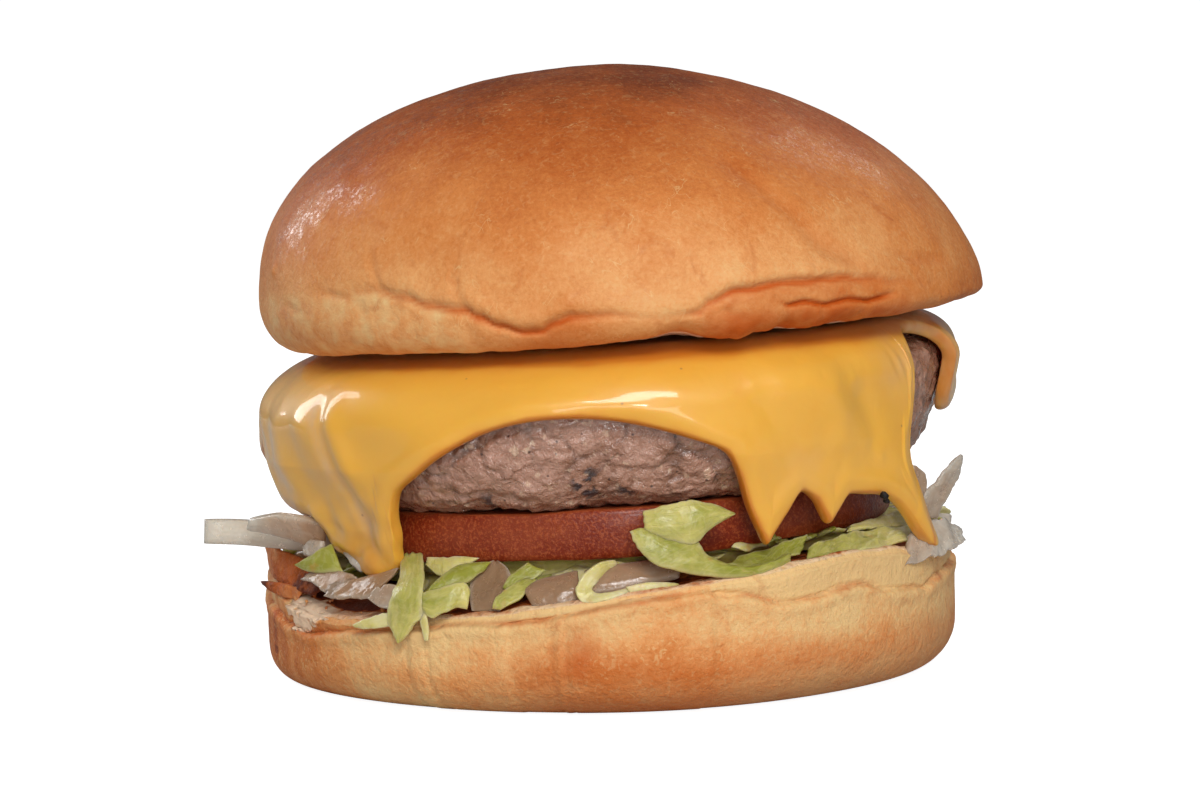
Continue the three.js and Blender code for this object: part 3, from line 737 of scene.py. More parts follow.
def crown_ring(s, turn):
    """What stays the same all the way up one side of the top bun."""
    a = half_turns(turn)
    around = Vector((math.sin(a), -math.cos(a), 0.0)) * s.radius
    torn = 0.9 * bell(a, 8, 3.2) - 0.9 * bell(a, 17, 5) + 0.4 * bell(a, -74, 9)
    jagged = ramp(away(a, 0), 10, 16) * (1 - ramp(away(a, 0), 38, 46))
    ragged = 0.3 * cloud(around, 5.0, 2) + 0.5 * cloud(around, 1.5, 4) * jagged
    level = s.rim + 0.5 * math.sin(a) - 0.7 * bell(a, -70, 35) + 0.2 * math.sin(6 * a)
    return SimpleNamespace(
        a=a,
        radius=s.radius - 0.3 * math.cos(2 * a) + 0.3 * math.sin(5 * a + 0.5),
        widest=s.widest - 1.9 * math.sin(a) + 0.5 * math.cos(2 * a),
        rim=level + torn + ragged,
        roll=s.roll - math.sin(a),
        power=2 / (2 - 0.25 * math.sin(a) + 0.06 * math.cos(a)),
        fold=crown_fold_height(a) + 0.35 * cloud(around, 4.0, 6),
    )


def crown_former(s):
    """Rows: 0 to 1 underside, 1 to 2 rolled lower edge, 2 to 3 dome."""
    ring_at = functools.cache(lambda turn: crown_ring(s, turn))

    def form(turn, row):
        ring = ring_at(turn)
        if row >= 3:
            return Vector((s.centre, 0.0, s.top))
        if row <= 1:
            z = lerp(s.seat, ring.rim, row ** 8)
            return polar(ring.a, (ring.radius - ring.roll) * row, z, s.centre)
        if row <= 2:
            bend = (2 - row) * math.pi / 2
            r = ring.radius - ring.roll * (1 - math.cos(bend) ** 0.91)
            z = ring.widest - (ring.widest - ring.rim) * math.sin(bend) ** 0.91
        else:
            bend = (row - 2) * math.pi / 2
            r = ring.radius * max(0.0, math.cos(bend)) ** ring.power
            z = ring.widest + (s.top - ring.widest) * math.sin(bend) ** ring.power
        shown = fold_shown(ring.a)
        drop = z - ring.fold
        crease = s.fold * shown * ridge(drop, 0.6)
        over = 0.5 * shown * ridge(drop - 1.9, 1.5)
        return polar(ring.a, r - crease + over * ramp(r, 20, 40), z, s.centre)

    return form


@functools.cache
def crown_creases(radius):
    """The creases on a dome of this radius, made ready once."""
    return crease_depth(CROWN_CREASES, radius)


def crown_line(s, co):
    """Height above the fold."""
    return co.z - crown_fold_height(angle_of(co, s.centre))


def crown_bake_and_side_shade(s, co, normal):
    """How dark the crust is baked, from 0 to 1, with painted shade at the sides."""
    a = angle_of(co, s.centre)
    side = away(a, 0)
    z = co.z + 1.6 * cloud(co, 16.0, 3)
    bake = 0.37 + 0.58 * max(0.0, (z - 60) / 31) ** 1.35
    bake += 0.1 * cloud(co, 20.0, 5) + 0.08 * cloud(co, 7.0, 6) + 0.04 * cloud(co, 2.5, 7)
    # the rolled edge below the fold is paler and mottled at the left, browner at the right
    below = 1 - ramp(crown_line(s, co), -1.6, 0.8)
    left = 1 - rightward(a, -34, -6)
    mottled = 0.16 * cloud(co, 3.2, 8) + 0.14 * cloud(co, 1.3, 9)
    bake -= below * left * (0.06 - mottled) - 0.08 * below * (1 - left)
    # painted shade: darker at the right side, round to the back, and a little at the left
    bake += 0.14 * ramp(side, 40, 78) * (1 - ramp(side, 150, 200)) * (1 - ramp(z, 76, 86))
    bake += 0.05 * bell(a, -66, 24) * (1 - below)
    return clamp(bake)


def crown_fold_colour_and_shade(s, co, normal):
    """How orange the crust is in and beside the folds, partly painted shade in the creases."""
    a = angle_of(co, s.centre)
    side = away(a, 0)
    drop = crown_line(s, co)
    line = fold_shown(a) * ridge(drop + 0.1 + 0.3 * cloud(co, 3.0, 2), 0.55)
    lower = (1 - ramp(drop, -1.4, 0.4)) * ramp(side, 2, 14) * (1 - ramp(side, 44, 60))
    lower *= 0.42 + 0.3 * (1 - ramp(drop, -5, -2)) + 0.4 * cloud(co, 4.0, 4) + 0.25 * cloud(co, 1.4, 5)
    tongue = 0.4 * (1 - ramp(drop, -0.9, 0.3)) * bell(a, -11, 7)
    # orange painted into the other creases, as painted shade in them
    creases = crown_creases(s.radius)(a, co.z)
    others = creases * (1.0 if co.z < 58 and side > 0 else 0.3)
    return clamp(max(line, lower, tongue, others))


def crown_crumb(s, co, normal):
    """1 on the cut underside."""
    if normal.z > -0.6 or co.z > 56:
        return 0.0
    out = math.hypot(co.x - s.centre, co.y) / s.radius
    return 1 - ramp(out, 0.84, 0.93)


def crown_gloss(s, co, normal):
    """Where the egg wash dried glossy: brushed patches on the shoulders."""
    a = angle_of(co, s.centre)
    brushed = cloud(Vector((co.x + co.z * 0.6, co.y, co.z * 0.4)), 2.0, 11)
    patch = ramp(cloud(co, 11.0, 9) + 0.4 * cloud(co, 3.0, 10) + 0.35 * brushed, -0.3, 0.4)
    return patch * (0.12 + 0.95 * bell(a, -74, 40) + 0.22 * bell(a, 66, 30)) * ramp(co.z, 54, 60)


def build_crown(s):
    rows = [*steps(0, 0.85, 12), *steps(0.85, 1, 8), *steps(1, 2, 26), *steps(2, 2.3, 40)]
    rows += [*steps(2.3, 3, 76), 3]
    bm = turned(crown_former(s), rows, columns(600))

    def depth(co, normal):
        a = angle_of(co, s.centre)
        lower = 1 - ramp(co.z, 66, 84)
        wide = 0.42 * cloud(co, 24.0, 2) + 0.2 * lower * cloud(co, 9.0, 3)
        dents = 0.1 * cloud(co, 5.0, 4) + 0.035 * cloud(co, 1.8, 5)
        crease = 0.75 * crown_creases(s.radius)(a, co.z)
        pale_bump = 0.4 * ridge(math.hypot(away(a, -68) * 0.95, co.z - 64.5), 0.8)
        puckers = cloud(Vector((math.degrees(a) * 0.9, 0.0, co.z * 0.22)), 1.7, 6)
        low_left = (1 - ramp(co.z, 57, 64)) * (1 - ramp(away(a, 0), -22, -4)) * ramp(co.z, 52.9, 54)
        crumb = crown_crumb(s, co, normal)
        dents += 0.12 * puckers * low_left + pale_bump
        dents += 0.07 * crown_gloss(s, co, normal) * cloud(co, 1.9, 12)
        return wide * ramp(co.z, 54, 60) + dents - crease + 0.3 * crumb * cloud(co, 1.6, 8)

    relief(bm, depth)
    values = {"bake": crown_bake_and_side_shade, "fold": crown_fold_colour_and_shade, "crumb": crown_crumb, "gloss": crown_gloss}
    for name, value in values.items():
        paint(bm, name, functools.partial(value, s))
    lean(bm)
    return bm


def scratches(make, place, lean_by):
    """1 on short fine lines that run aslant."""
    tipped = make.add("ShaderNodeMapping", {"Vector": place, "Rotation": (0.0, lean_by, 0.0)})
    run = make.clouds(make.stretched(tipped.outputs[0], (1.0, 1.0, 0.16)), 1.7, 1.0, 0.4)
    line = make.span(make.math("ABSOLUTE", make.math("SUBTRACT", run, 0.5)), 0.0, 0.012, 1.0, 0.0)
    short = make.span(make.clouds(place, 4.0, 2.0), 0.56, 0.66)
    return make.math("MULTIPLY", line, short)


def bread_material(name, colours, wrinkle, speck, grain, scratch_highlight):
    """Baked crust with folds, torn crumb and toasting, each where it is painted on the piece.

    `wrinkle` is the skin's relief in millimetres, `speck` how clear its pale freckles are,
    `grain` how gritty its colour is and `scratch_highlight` how bright the painted highlight along its
    fine scratches is.
    """
    values = {"IOR": 1.45, "Specular IOR Level": 0.22, "Subsurface Weight": 0.06,
              "Subsurface Radius": (1.0, 0.45, 0.2), "Subsurface Scale": 0.0025,
              "Coat Roughness": 0.24, "Coat IOR": 1.6}
    material, make, shader = new_material(name, values)
    place = make.place()
    broad, fine = mottle(make, place, 11.0, 0.8)
    speckle = make.clouds(place, 0.45, 2.0, 0.7)
    grit = make.clouds(place, 1.6, 3.0, 0.75)
    bake = make.total(
        (make.painted("bake"), 1.0), (broad, 0.16), (grit, grain), (fine, 0.2), (speckle, 0.18)
    )
    bake = make.math("SUBTRACT", bake, 0.27 + grain / 2)
    crust = make.shades(bake, [
        (0.05, colours.crust_pale), (0.32, colours.crust_tan), (0.52, colours.crust_gold),
        (0.76, colours.crust_brown), (1.0, colours.crust_dark),
    ])
    freckle = make.span(make.clouds(place, 1.2, 2.0, 0.5, 1.5), 0.57, 0.66, 0.0, speck)
    crust = make.blend(freckle, crust, colours.crust_pale)
    rust = make.span(make.clouds(place, 6.0, 4.0, 0.65, 1.0), 0.55, 0.78, 0.0, 0.5)
    crust = make.blend(rust, crust, colours.crust_brown)
    lines = make.math("MAXIMUM", scratches(make, place, 0.7), scratches(make, place, -0.5))
    # fine scratches painted pale, a painted highlight along them; they are less rough as well
    crust = make.blend(make.math("MULTIPLY", lines, scratch_highlight), crust, colours.crust_pale)
    crust = make.blend(make.painted("fold"), crust, colours.fold)
    holes = make.cells(place, 1.5)
    # the crumb is darker tan in its pits: painted shade in the pores, with its grain
    shade = make.total((holes, 0.4), (fine, 0.35), (grit, 0.5))
    crumb = make.shades(shade, [(0.3, colours.crust_tan), (0.55, colours.crumb), (0.9, colours.crumb)])
    bare = make.math("ADD", make.painted("crumb"), make.math("MULTIPLY", grit, 0.4))
    bare = make.span(bare, 0.42, 0.95)
    base = make.blend(bare, crust, crumb)
    uneven = make.span(make.clouds(place, 2.2, 4.0, 0.7), 0.3, 0.7, 0.65, 1.3)
    char = make.math("MULTIPLY", make.painted("toast"), uneven)
    base = make.blend(make.span(char, 0.08, 0.42), base, colours.crust_brown)
    base = make.blend(make.span(char, 0.4, 0.85), base, colours.toast)
    make.feed(shader.inputs["Base Color"], base)
    gloss = make.painted("gloss")
    rough = make.total((fine, 0.2), (bare, 0.4), (gloss, -0.05), (speckle, 0.14), (lines, -0.15))
    make.feed(shader.inputs["Roughness"], make.math("ADD", rough, 0.42))
    dots = make.span(make.clouds(place, 0.75, 3.0, 0.75), 0.5, 0.62, 0.12, 1.0)
    make.feed(shader.inputs["Coat Weight"], make.math("MULTIPLY", gloss, dots))
    skin = make.clouds(make.stretched(place, (1.0, 1.0, 1.5)), 2.4, 5.0, 0.62, 0.8)
    normal = make.bump(skin, wrinkle)
    normal = make.bump(grit, grain * 0.9, normal)
    normal = make.bump(fine, 0.07, normal)
    normal = make.bump(speckle, 0.035, normal)
    normal = make.bump(make.math("MULTIPLY", make.span(holes, 0.1, 0.5), bare), 0.25, normal)
    make.feed(shader.inputs["Normal"], normal)
    return material


# ------------------------------------------------------------------ patty, cheese and tomato

# Lower edge of the melted slice: (degrees, height) once round from the left notch.
HEM = [
    (-86, 38), (-80, 34.4), (-74, 29.8), (-66, 28.4), (-60.6, 27.9), (-58.6, 26.2), (-57.2, 24.0),
    (-53, 21.7), (-48, 20.7), (-43.8, 20.6), (-41.4, 21.3), (-39.8, 22.6), (-39.2, 24.4),
    (-38.4, 26.2), (-38.1, 28.4), (-37.3, 30.6), (-35.6, 33.2), (-31.5, 35.6), (-27, 38.2),
    (-20, 41.2), (-12, 43), (-4, 43), (4, 41.6), (12, 39.2), (17.4, 36.8), (19.6, 33.2),
    (21.4, 28.4), (23.2, 25.0), (24.6, 23.0), (25.8, 24.4), (28, 27.0), (30.6, 29.9), (33.4, 28.4),
    (35, 26.2), (36.2, 24.8), (37.6, 26.2), (40, 28.4), (44, 28.1), (47, 27.6), (49.6, 26.0),
    (51.2, 23.2), (52.2, 20.0), (53.5, 18.2), (54.8, 18.7), (55.3, 22), (55.5, 28), (55.8, 35),
    (56.3, 42), (57.2, 46.8), (59, 49.3), (62, 50.4), (66, 50.6), (70.5, 49.6), (73.4, 46.6),
    (75.4, 42.6), (77.4, 38.9), (80.2, 36.8), (84.5, 37.4), (90, 39.2), (97, 39.2), (104, 36),
    (112, 30), (119, 27.5), (126, 29), (133, 25), (140, 21.5), (147, 23.5), (152, 30), (158, 35),
    (164, 38.2), (171, 40.4), (179, 41.6), (186, 41.2), (193, 39.6), (200, 36), (205, 30),
    (209, 27.2), (214, 28.4), (220, 25), (228, 22.4), (236, 24.5), (241, 30), (248, 34.5),
    (256, 33), (262, 31.6), (268, 34), (274, 38),
]
HEM_LINE = [Vector((degrees, height, 0.0)) for degrees, height in HEM]
HEM_MIDDLE = (HEM[0][0] + HEM[-1][0]) / 2
HEM_END = 0.55  # the slice's faces end this far above the hem, where its round edge begins
HEM_ROUND = 0.85  # how far the round edge swells out past them
hem_height = round_line(HEM[:-1])
HANG_FROM = 36.0  # below this height the cheese hangs clear of the patty
CLEAR = 0.6  # air kept between the patty and the cheese
DROP_UNIT = 10.0  # height that one unit of drop takes below the widest ring

# The streak at the left drip where the slice is thin: (millimetres round, height) points.
THIN_PATH = [(-48.5, 45), (-46.8, 40.8), (-45, 35), (-42.5, 31), (-40.5, 28)]
THIN_DEGREE = 0.92  # millimetres round to a degree, for that streak

# Pulled grooves in the hanging cheese: millimetres deep, width and (degrees, height) points.
CHEESE_FOLDS = [
    (0.2, 2.4, [(-61, 47), (-59.5, 41), (-57.5, 35.5), (-54.5, 31), (-52.5, 27)]),
    (0.5, 1.5, [(-51.5, 47), (-50, 42), (-48.4, 37), (-46, 32.5), (-44.6, 29)]),
    (0.3, 2.2, [(-75, 44), (-71.5, 38), (-70, 33)]),
    (0.22, 0.7, [(50.5, 48.6), (51.6, 46), (53.4, 43)]),
    (0.22, 0.7, [(53.2, 48.6), (54.2, 45.6), (54.8, 43)]),
    (0.45, 2.4, [(41, 45), (44.5, 39), (47.5, 33)]),
    (0.4, 2.6, [(22, 46), (26, 40), (29.5, 33)]),
    (0.6, 1.6, [(118, 42), (122, 36), (125, 31)]),
    (0.6, 1.8, [(146, 30), (148, 38), (152, 44)]),
    (0.7, 1.7, [(212, 42), (214, 36), (215, 31)]),
    (0.5, 1.8, [(232, 29), (234, 36), (236, 42)]),
]
# Ridges beside them, in the same order of values.
CHEESE_RIDGES = [
    (0.5, 1.8, [(-48.4, 47), (-46.8, 42), (-44.8, 37), (-42.2, 33)]),
    (0.35, 2.6, [(-68, 45), (-66, 40), (-63, 34), (-59.5, 30)]),
    (0.4, 2.4, [(34, 46), (37, 40), (38, 33)]),
    (0.5, 1.8, [(204, 43), (206, 37), (207, 32)]),
]
CHEESE_WALL = 53.6  # radius at which the hem and the folds are measured
CHEESE_DEGREE = math.radians(1) * CHEESE_WALL  # millimetres round to a degree there
cheese_grooves = crease_depth(CHEESE_FOLDS, CHEESE_WALL)
cheese_ridges = crease_depth(CHEESE_RIDGES, CHEESE_WALL)
HEM_FLAT = [(degrees * CHEESE_DEGREE, height) for degrees, height in HEM]
HEM_STARTS = [x for x, height in HEM_FLAT]
HEM_NEAR = 4  # how many of the hem's points are searched to each side of a place


def hem_distance(a, z):
    """Millimetres from a place on the hanging slice to its lower edge."""
    x = (away(a, HEM_MIDDLE) + HEM_MIDDLE) * CHEESE_DEGREE
    at = bisect.bisect(HEM_STARTS, x)
    return line_distance(x, z, HEM_FLAT[max(0, at - HEM_NEAR):at + HEM_NEAR])


def hem_bead(a, z, inset):
    """The thicker bead along the hem of the outer surface."""
    return 0.3 * ridge(hem_distance(a, z) - 2.0, 1.4) if inset == 0 else 0.0


def lumps(a, z):
    """Uneven coarse-ground surface that the cheese follows too."""
    wide = 0.4 * math.sin(5 * a + 0.7 + z * 0.12)
    return wide + 0.3 * math.sin(9 * a - z * 0.21) + 0.2 * math.sin(16 * a + z * 0.4)


def shoulder(s, a):
    """Height and reach of the top edge that the cheese drapes over."""
    return s.shoulder + 2 * math.sin(a), s.reach - 5.4 * math.sin(a)


def patty_form(s, turn, row):
    """Rows: 0 to 1 underside, 1 to 2 lower wall, 2 to 3 rounded top edge, 3 to 4 top."""
    a = half_turns(turn)
    inset = s.cheese + CLEAR
    widest, reach = shoulder(s, a)
    radius = s.cheese_radius - inset
    top = s.cheese_top - inset
    width = reach - inset
    if row <= 1:
        return polar(a, (s.patty_foot + lumps(a, s.patty_bottom)) * row, s.patty_bottom)
    if row <= 2:
        bend = (2 - row) * math.pi / 2
        z = widest - (widest - s.patty_bottom) * math.sin(bend)
        return polar(a, lerp(s.patty_foot, radius, math.cos(bend)) + lumps(a, z), z)
    if row <= 3:
        bend = (row - 2) * math.pi / 2
        z = widest + (top - widest) * math.sin(bend)
        return polar(a, radius - width * (1 - math.cos(bend)) + lumps(a, z) * math.cos(bend), z)
    return polar(a, (radius - width) * (4 - row), top)


def patty_lump(co):
    """How deep the crack round a ground lump is, from 0 to 1, and how far the lump stands out."""
    bent = co + Vector((cloud(co, 3.0, 1), cloud(co, 3.0, 2), cloud(co, 3.0, 3))) * 2.2
    distances, points = noise.voronoi(Vector((bent.x, bent.y, bent.z * 1.25)) / 6.5)
    crack = ridge(distances[1] - distances[0], 0.1) * ramp(cloud(co, 7.0, 7), -0.2, 0.4)
    return crack, cloud(points[0], 0.37, 4)


def build_patty(s):
    rows = [*steps(0, 0.75, 12), *steps(0.75, 1, 12), *steps(1, 2, 80), *steps(2, 3, 30)]
    rows += [*steps(3, 4, 12), 4]
    bm = turned(lambda turn, row: patty_form(s, turn, row), rows, columns(660))

    def depth(co, normal):
        crack, lump = patty_lump(co)
        grain = 0.36 * cloud(co, 2.3, 5) + 0.26 * cloud(co, 1.3, 6) + 0.12 * abs(cloud(co, 0.8, 7))
        wrinkle = 0.18 * abs(cloud(Vector((co.x, co.y, co.z * 2.4)), 3.4, 12))
        broad = 0.6 * cloud(co, 11.0, 4) - 0.4 * (1 - ramp(-normal.z, 0.3, 0.8))
        low_crease = 0.9 * ridge(co.z - 31.6 - 0.8 * cloud(co, 7.0, 8), 0.55)
        low_crease *= ramp(cloud(co, 11.0, 9), -0.2, 0.3)
        return broad + 0.4 * lump - 0.36 * crack + grain - wrinkle - low_crease

    relief(bm, depth)
    # the cracks, which the beef's colour darkens as painted shade
    paint(bm, "crack", lambda co, normal: patty_lump(co)[0])
    paint(bm, "sear", lambda co, normal: patty_sear(co))
    paint(bm, "wet", lambda co, normal: patty_wet(co))
    lean(bm)
    return bm


def patty_sear(co):
    """How seared the beef is: the lower edge, dark spots on the sides and the right end."""
    a = angle_of(co)
    low = 0.3 * (1 - ramp(co.z, 29.8, 32.0 + 2 * cloud(co, 6.0, 1)))
    spots = 0.28 * ramp(cloud(co, 7.5, 14) + 0.4 * cloud(co, 2.4, 15), 0.3, 0.6)
    broken = ramp(cloud(co, 1.8, 4) + 0.6 * cloud(co, 0.8, 5), -0.35, 0.25)
    # three charred spots low on the front
    dark = ridge(math.hypot(away(a, -4.5) * 0.8, (co.z - 33) * 0.7), 2.9) * broken
    dark += 0.9 * ridge(math.hypot(away(a, 2.6) * 0.8, (co.z - 32) * 1.2), 2.0) * broken
    dark += 0.8 * ridge(math.hypot(away(a, -22) * 0.6, co.z - 31), 2.2) * broken
    scorched = 0.5 * ramp(away(a, 0), 58, 72) * (1 - ramp(away(a, 0), 150, 175))
    return min(1.0, max(low, spots, dark, scorched * (0.6 + 0.7 * cloud(co, 3.5, 9))))


def patty_wet(co):
    """How wet the beef is: most under the edge of the cheese."""
    below = hem_height(angle_of(co)) - co.z
    return (1 - ramp(below + 1.8 * cloud(co, 6.0, 3), 0.5, 5.5)) * 0.8 + 0.2


def beef_material(colours):
    """Moist ground beef: grey brown, painted dark in its cracks as shade, wet grains that glint."""
    values = {"IOR": 1.5, "Specular IOR Level": 1.0, "Subsurface Weight": 0.1,
              "Subsurface Radius": (1.0, 0.35, 0.25), "Subsurface Scale": 0.0016,
              "Coat Roughness": 0.16, "Coat IOR": 1.5}
    material, make, shader = new_material("moist ground beef", values)
    place = make.place()
    broad, fine = mottle(make, place, 6.0, 0.8)
    crack, sear, wet = make.painted("crack"), make.painted("sear"), make.painted("wet")
    grit = make.clouds(place, 1.8, 3.0, 0.7)
    tone = make.total((broad, 0.8), (fine, 0.45), (grit, 0.4), (sear, 0.42), (crack, 0.16))
    middling = lerp_colour(colours.beef_pale, colours.beef_brown, 0.6)
    stops = [(0.48, colours.beef_pale), (0.8, middling), (1.0, colours.beef_brown)]
    base = make.shades(make.math("SUBTRACT", tone, 0.14), stops)
    # cracks painted dark: painted shade in the crevices
    base = make.blend(make.math("MULTIPLY", crack, 0.45), base, colours.beef_dark)
    fat = make.span(make.clouds(place, 1.7, 3.0, 0.6), 0.6, 0.7, 0.0, 0.45)
    base = make.blend(fat, base, colours.crumb)
    rust = make.span(make.clouds(place, 4.2, 3.0, 0.6, 0.6), 0.56, 0.72, 0.0, 0.5)
    base = make.blend(rust, base, colours.beef_brown)
    specks = make.span(make.cells(place, 2.3), 0.05, 0.12, 0.8, 0.0)
    base = make.blend(specks, base, colours.beef_dark)
    base = make.blend(make.span(sear, 0.42, 0.85, 0.0, 0.9), base, colours.beef_char)
    make.feed(shader.inputs["Base Color"], base)
    film = make.total((make.clouds(place, 2.2, 3.0, 0.65), 1.0), (wet, 0.3))
    make.feed(shader.inputs["Roughness"], make.span(film, 0.46, 0.74, 0.5, 0.08))
    make.feed(shader.inputs["Coat Weight"], make.span(film, 0.6, 0.84, 0.0, 1.0))
    normal = make.bump(make.clouds(place, 1.5, 4.0, 0.6, 0.5), 0.7)
    normal = make.bump(fine, 0.25, normal)
    normal = make.bump(make.cells(place, 0.8), 0.08, normal)
    make.feed(shader.inputs["Normal"], normal)
    return material


def drift(a, z):
    """The tongue at the right front leans as it hangs, and the edge above it is drawn in."""
    reach = 0.03 * max(0.0, 34 - z) ** 2 - 1.8 * ridge(z - 32.5, 4.5)
    return math.radians(reach) * bell(a, 54, 11)


def cheese_skin(s, a, drop, inset):
    """The slice's outer surface, or with `inset` a surface inside it, `drop` down its path."""
    widest, reach = shoulder(s, a)
    radius = s.cheese_radius - inset
    width = reach - inset
    if drop <= 1:
        bend = (1 - drop) * math.pi / 2
        z = widest + (s.cheese_top - inset - widest) * math.sin(bend)
        swell = lumps(a, z) + cheese_ridges(a, z) - cheese_grooves(a, z) + hem_bead(a, z, inset)
        r = radius - width * (1 - math.cos(bend)) + swell * math.cos(bend)
        return polar(a + drift(a, z), r, z)
    z = widest - (drop - 1) * DROP_UNIT
    hang = max(0.0, HANG_FROM - z)
    cling = (0.06 + 0.1 * bell(a, 84, 16)) * (widest - z - hang)
    follow = lumps(a, z) * math.exp(-hang / 6)
    pull = cheese_ridges(a, z) - cheese_grooves(a, z) * ramp(hem_distance(a, z), 0.5, 3.0)
    inward = 0.16 + 0.17 * bell(a, -62, 40) - 0.18 * bell(a, 54, 8)
    r = radius - cling - hang * inward + follow + pull + hem_bead(a, z, inset)
    return polar(a + drift(a, z), r, z)


def hem_drop(s, widest, hem):
    """How far down its path the slice ends at this hem height: 1 is the widest place."""
    if hem > widest:
        return 1 - math.asin(min(1.0, (hem - widest) / (s.cheese_top - widest))) / (math.pi / 2)
    return 1 + (widest - hem) / DROP_UNIT


def drop_at(part, end):
    """Drop at `part` of the way from the flat top to the hem."""
    shoulder_part = min(1.0, end * 0.6)
    return 2 * part * shoulder_part if part < 0.5 else lerp(shoulder_part, end, 2 * part - 1)


def cheese_former(s):
    """Rows: 0 to 1 underside, 1 to 2 inner face, 2 to 3 round hem, 3 to 4 outer face, 4 to 5 top."""

    def ring(turn):
        hem = smooth_line(HEM_LINE, turn)
        a = math.radians(hem.x)
        widest, reach = shoulder(s, a)
        end = hem_drop(s, widest, hem.y + HEM_END)
        inner, outer = cheese_skin(s, a, end, s.cheese), cheese_skin(s, a, end, 0.0)
        ahead = (outer - cheese_skin(s, a, end - 0.02, 0.0)).normalized()
        return SimpleNamespace(a=a, reach=reach, end=end, inner=inner, outer=outer, ahead=ahead)

    ring_at = functools.cache(ring)

    def form(turn, row):
        at = ring_at(turn)
        if row <= 1:
            return polar(at.a, (s.cheese_radius - at.reach) * row, s.cheese_top - s.cheese)
        if row <= 2:
            return cheese_skin(s, at.a, drop_at(row - 1, at.end), s.cheese)
        if row <= 3:
            bend = (row - 2) * math.pi
            across = at.inner.lerp(at.outer, (1 - math.cos(bend)) / 2)
            return across + at.ahead * (HEM_ROUND * math.sin(bend))
        if row <= 4:
            return cheese_skin(s, at.a, drop_at(4 - row, at.end), 0.0)
        return polar(at.a, (s.cheese_radius - at.reach) * (5 - row), s.cheese_top)

    return form


def build_cheese(s):
    rows = [0, 0.8, *steps(1, 1.5, 10), *steps(1.5, 2, 20), *steps(2, 3, 10)]
    rows += [*steps(3, 3.5, 48), *steps(3.5, 4, 28), 4, 4.3, 5]
    bm = turned(cheese_former(s), rows, columns(7 * (len(HEM) - 1)))

    def depth(co, normal):
        a = angle_of(co)
        outward = normal.x * math.sin(a) - normal.y * math.cos(a)
        if outward < 0.05 and co.z < 50:
            return 0.0
        fade = ramp(outward, 0.05, 0.4) * ramp(co.z - hem_height(a), 0.5, 5.0)
        sag = 0.22 * cloud(Vector((co.x, co.y, co.z * 0.45)), 13.0, 3)
        drip = bell(a, -49, 12) * (1 - ramp(co.z, 27, 35)) * ramp(outward, 0.05, 0.4)
        return fade * (sag + 0.04 * cloud(co, 4.0, 5)) + 1.1 * drip * cloud(co, 3.6, 8)

    relief(bm, depth)
    # thin cheese, and the painted sheen at the far left
    paint(bm, "thin", lambda co, normal: cheese_thin_and_sheen(co))
    # the hem's deeper colour, with painted shade under the top bun and partly along the hem
    paint(bm, "hem", lambda co, normal: cheese_edge_shade(co))
    lean(bm)
    return bm


def cheese_edge_shade(co):
    """1 where painted deeper: the hem, partly painted shade, and painted shade under the top bun."""
    a = angle_of(co)
    # painted shadow of the top bun on the cheese
    painted_bun_shadow = 0.95 * ramp(co.z + 0.4 * cloud(co, 6.0, 2), 48.6, 50.4)
    # the hem line: a deeper edge, partly painted shade where the cheese meets the beef
    edge = ridge(hem_distance(a - drift(a, co.z), co.z), 0.8)
    at_drip = bell(a, -48, 13)
    deep = 0.48 * at_drip * (1 - ramp(co.z, 22.5, 31))
    return max(painted_bun_shadow, edge * (1 - 0.8 * at_drip) * (1 - 0.6 * bell(a, 53, 6)), deep)


def cheese_thin_and_sheen(co):
    """Stretched thin where the beef shows through a little, and a painted sheen at the far left."""
    a = angle_of(co)
    patches = 0.7 * bell(a, 54, 6) * ridge(co.z - 45.5, 4.0)
    patches += 0.3 * bell(a, 31, 7) * ridge(co.z - 33, 4)
    # the long streak at the left drip
    path = line_distance(math.degrees(a) * THIN_DEGREE, co.z, THIN_PATH)
    wide = lerp(1.2, 2.3, ramp(44 - co.z, 2, 14))
    patches += 1.25 * ridge(path + 0.5 * cloud(co, 2.0, 3), wide)
    # painted sheen round the left side; thin into the flap at the right, and one place behind
    patches += 0.55 * bell(a, -87, 8) + 0.6 * bell(a, 80, 12)
    patches += 0.8 * bell(a, 66, 7) * ramp(co.z, 47, 50)
    patches += 0.6 * bell(a, 170, 14) * ridge(co.z - 44, 4)
    return min(1.0, patches * (0.7 + 0.5 * cloud(co, 3.2, 5)))


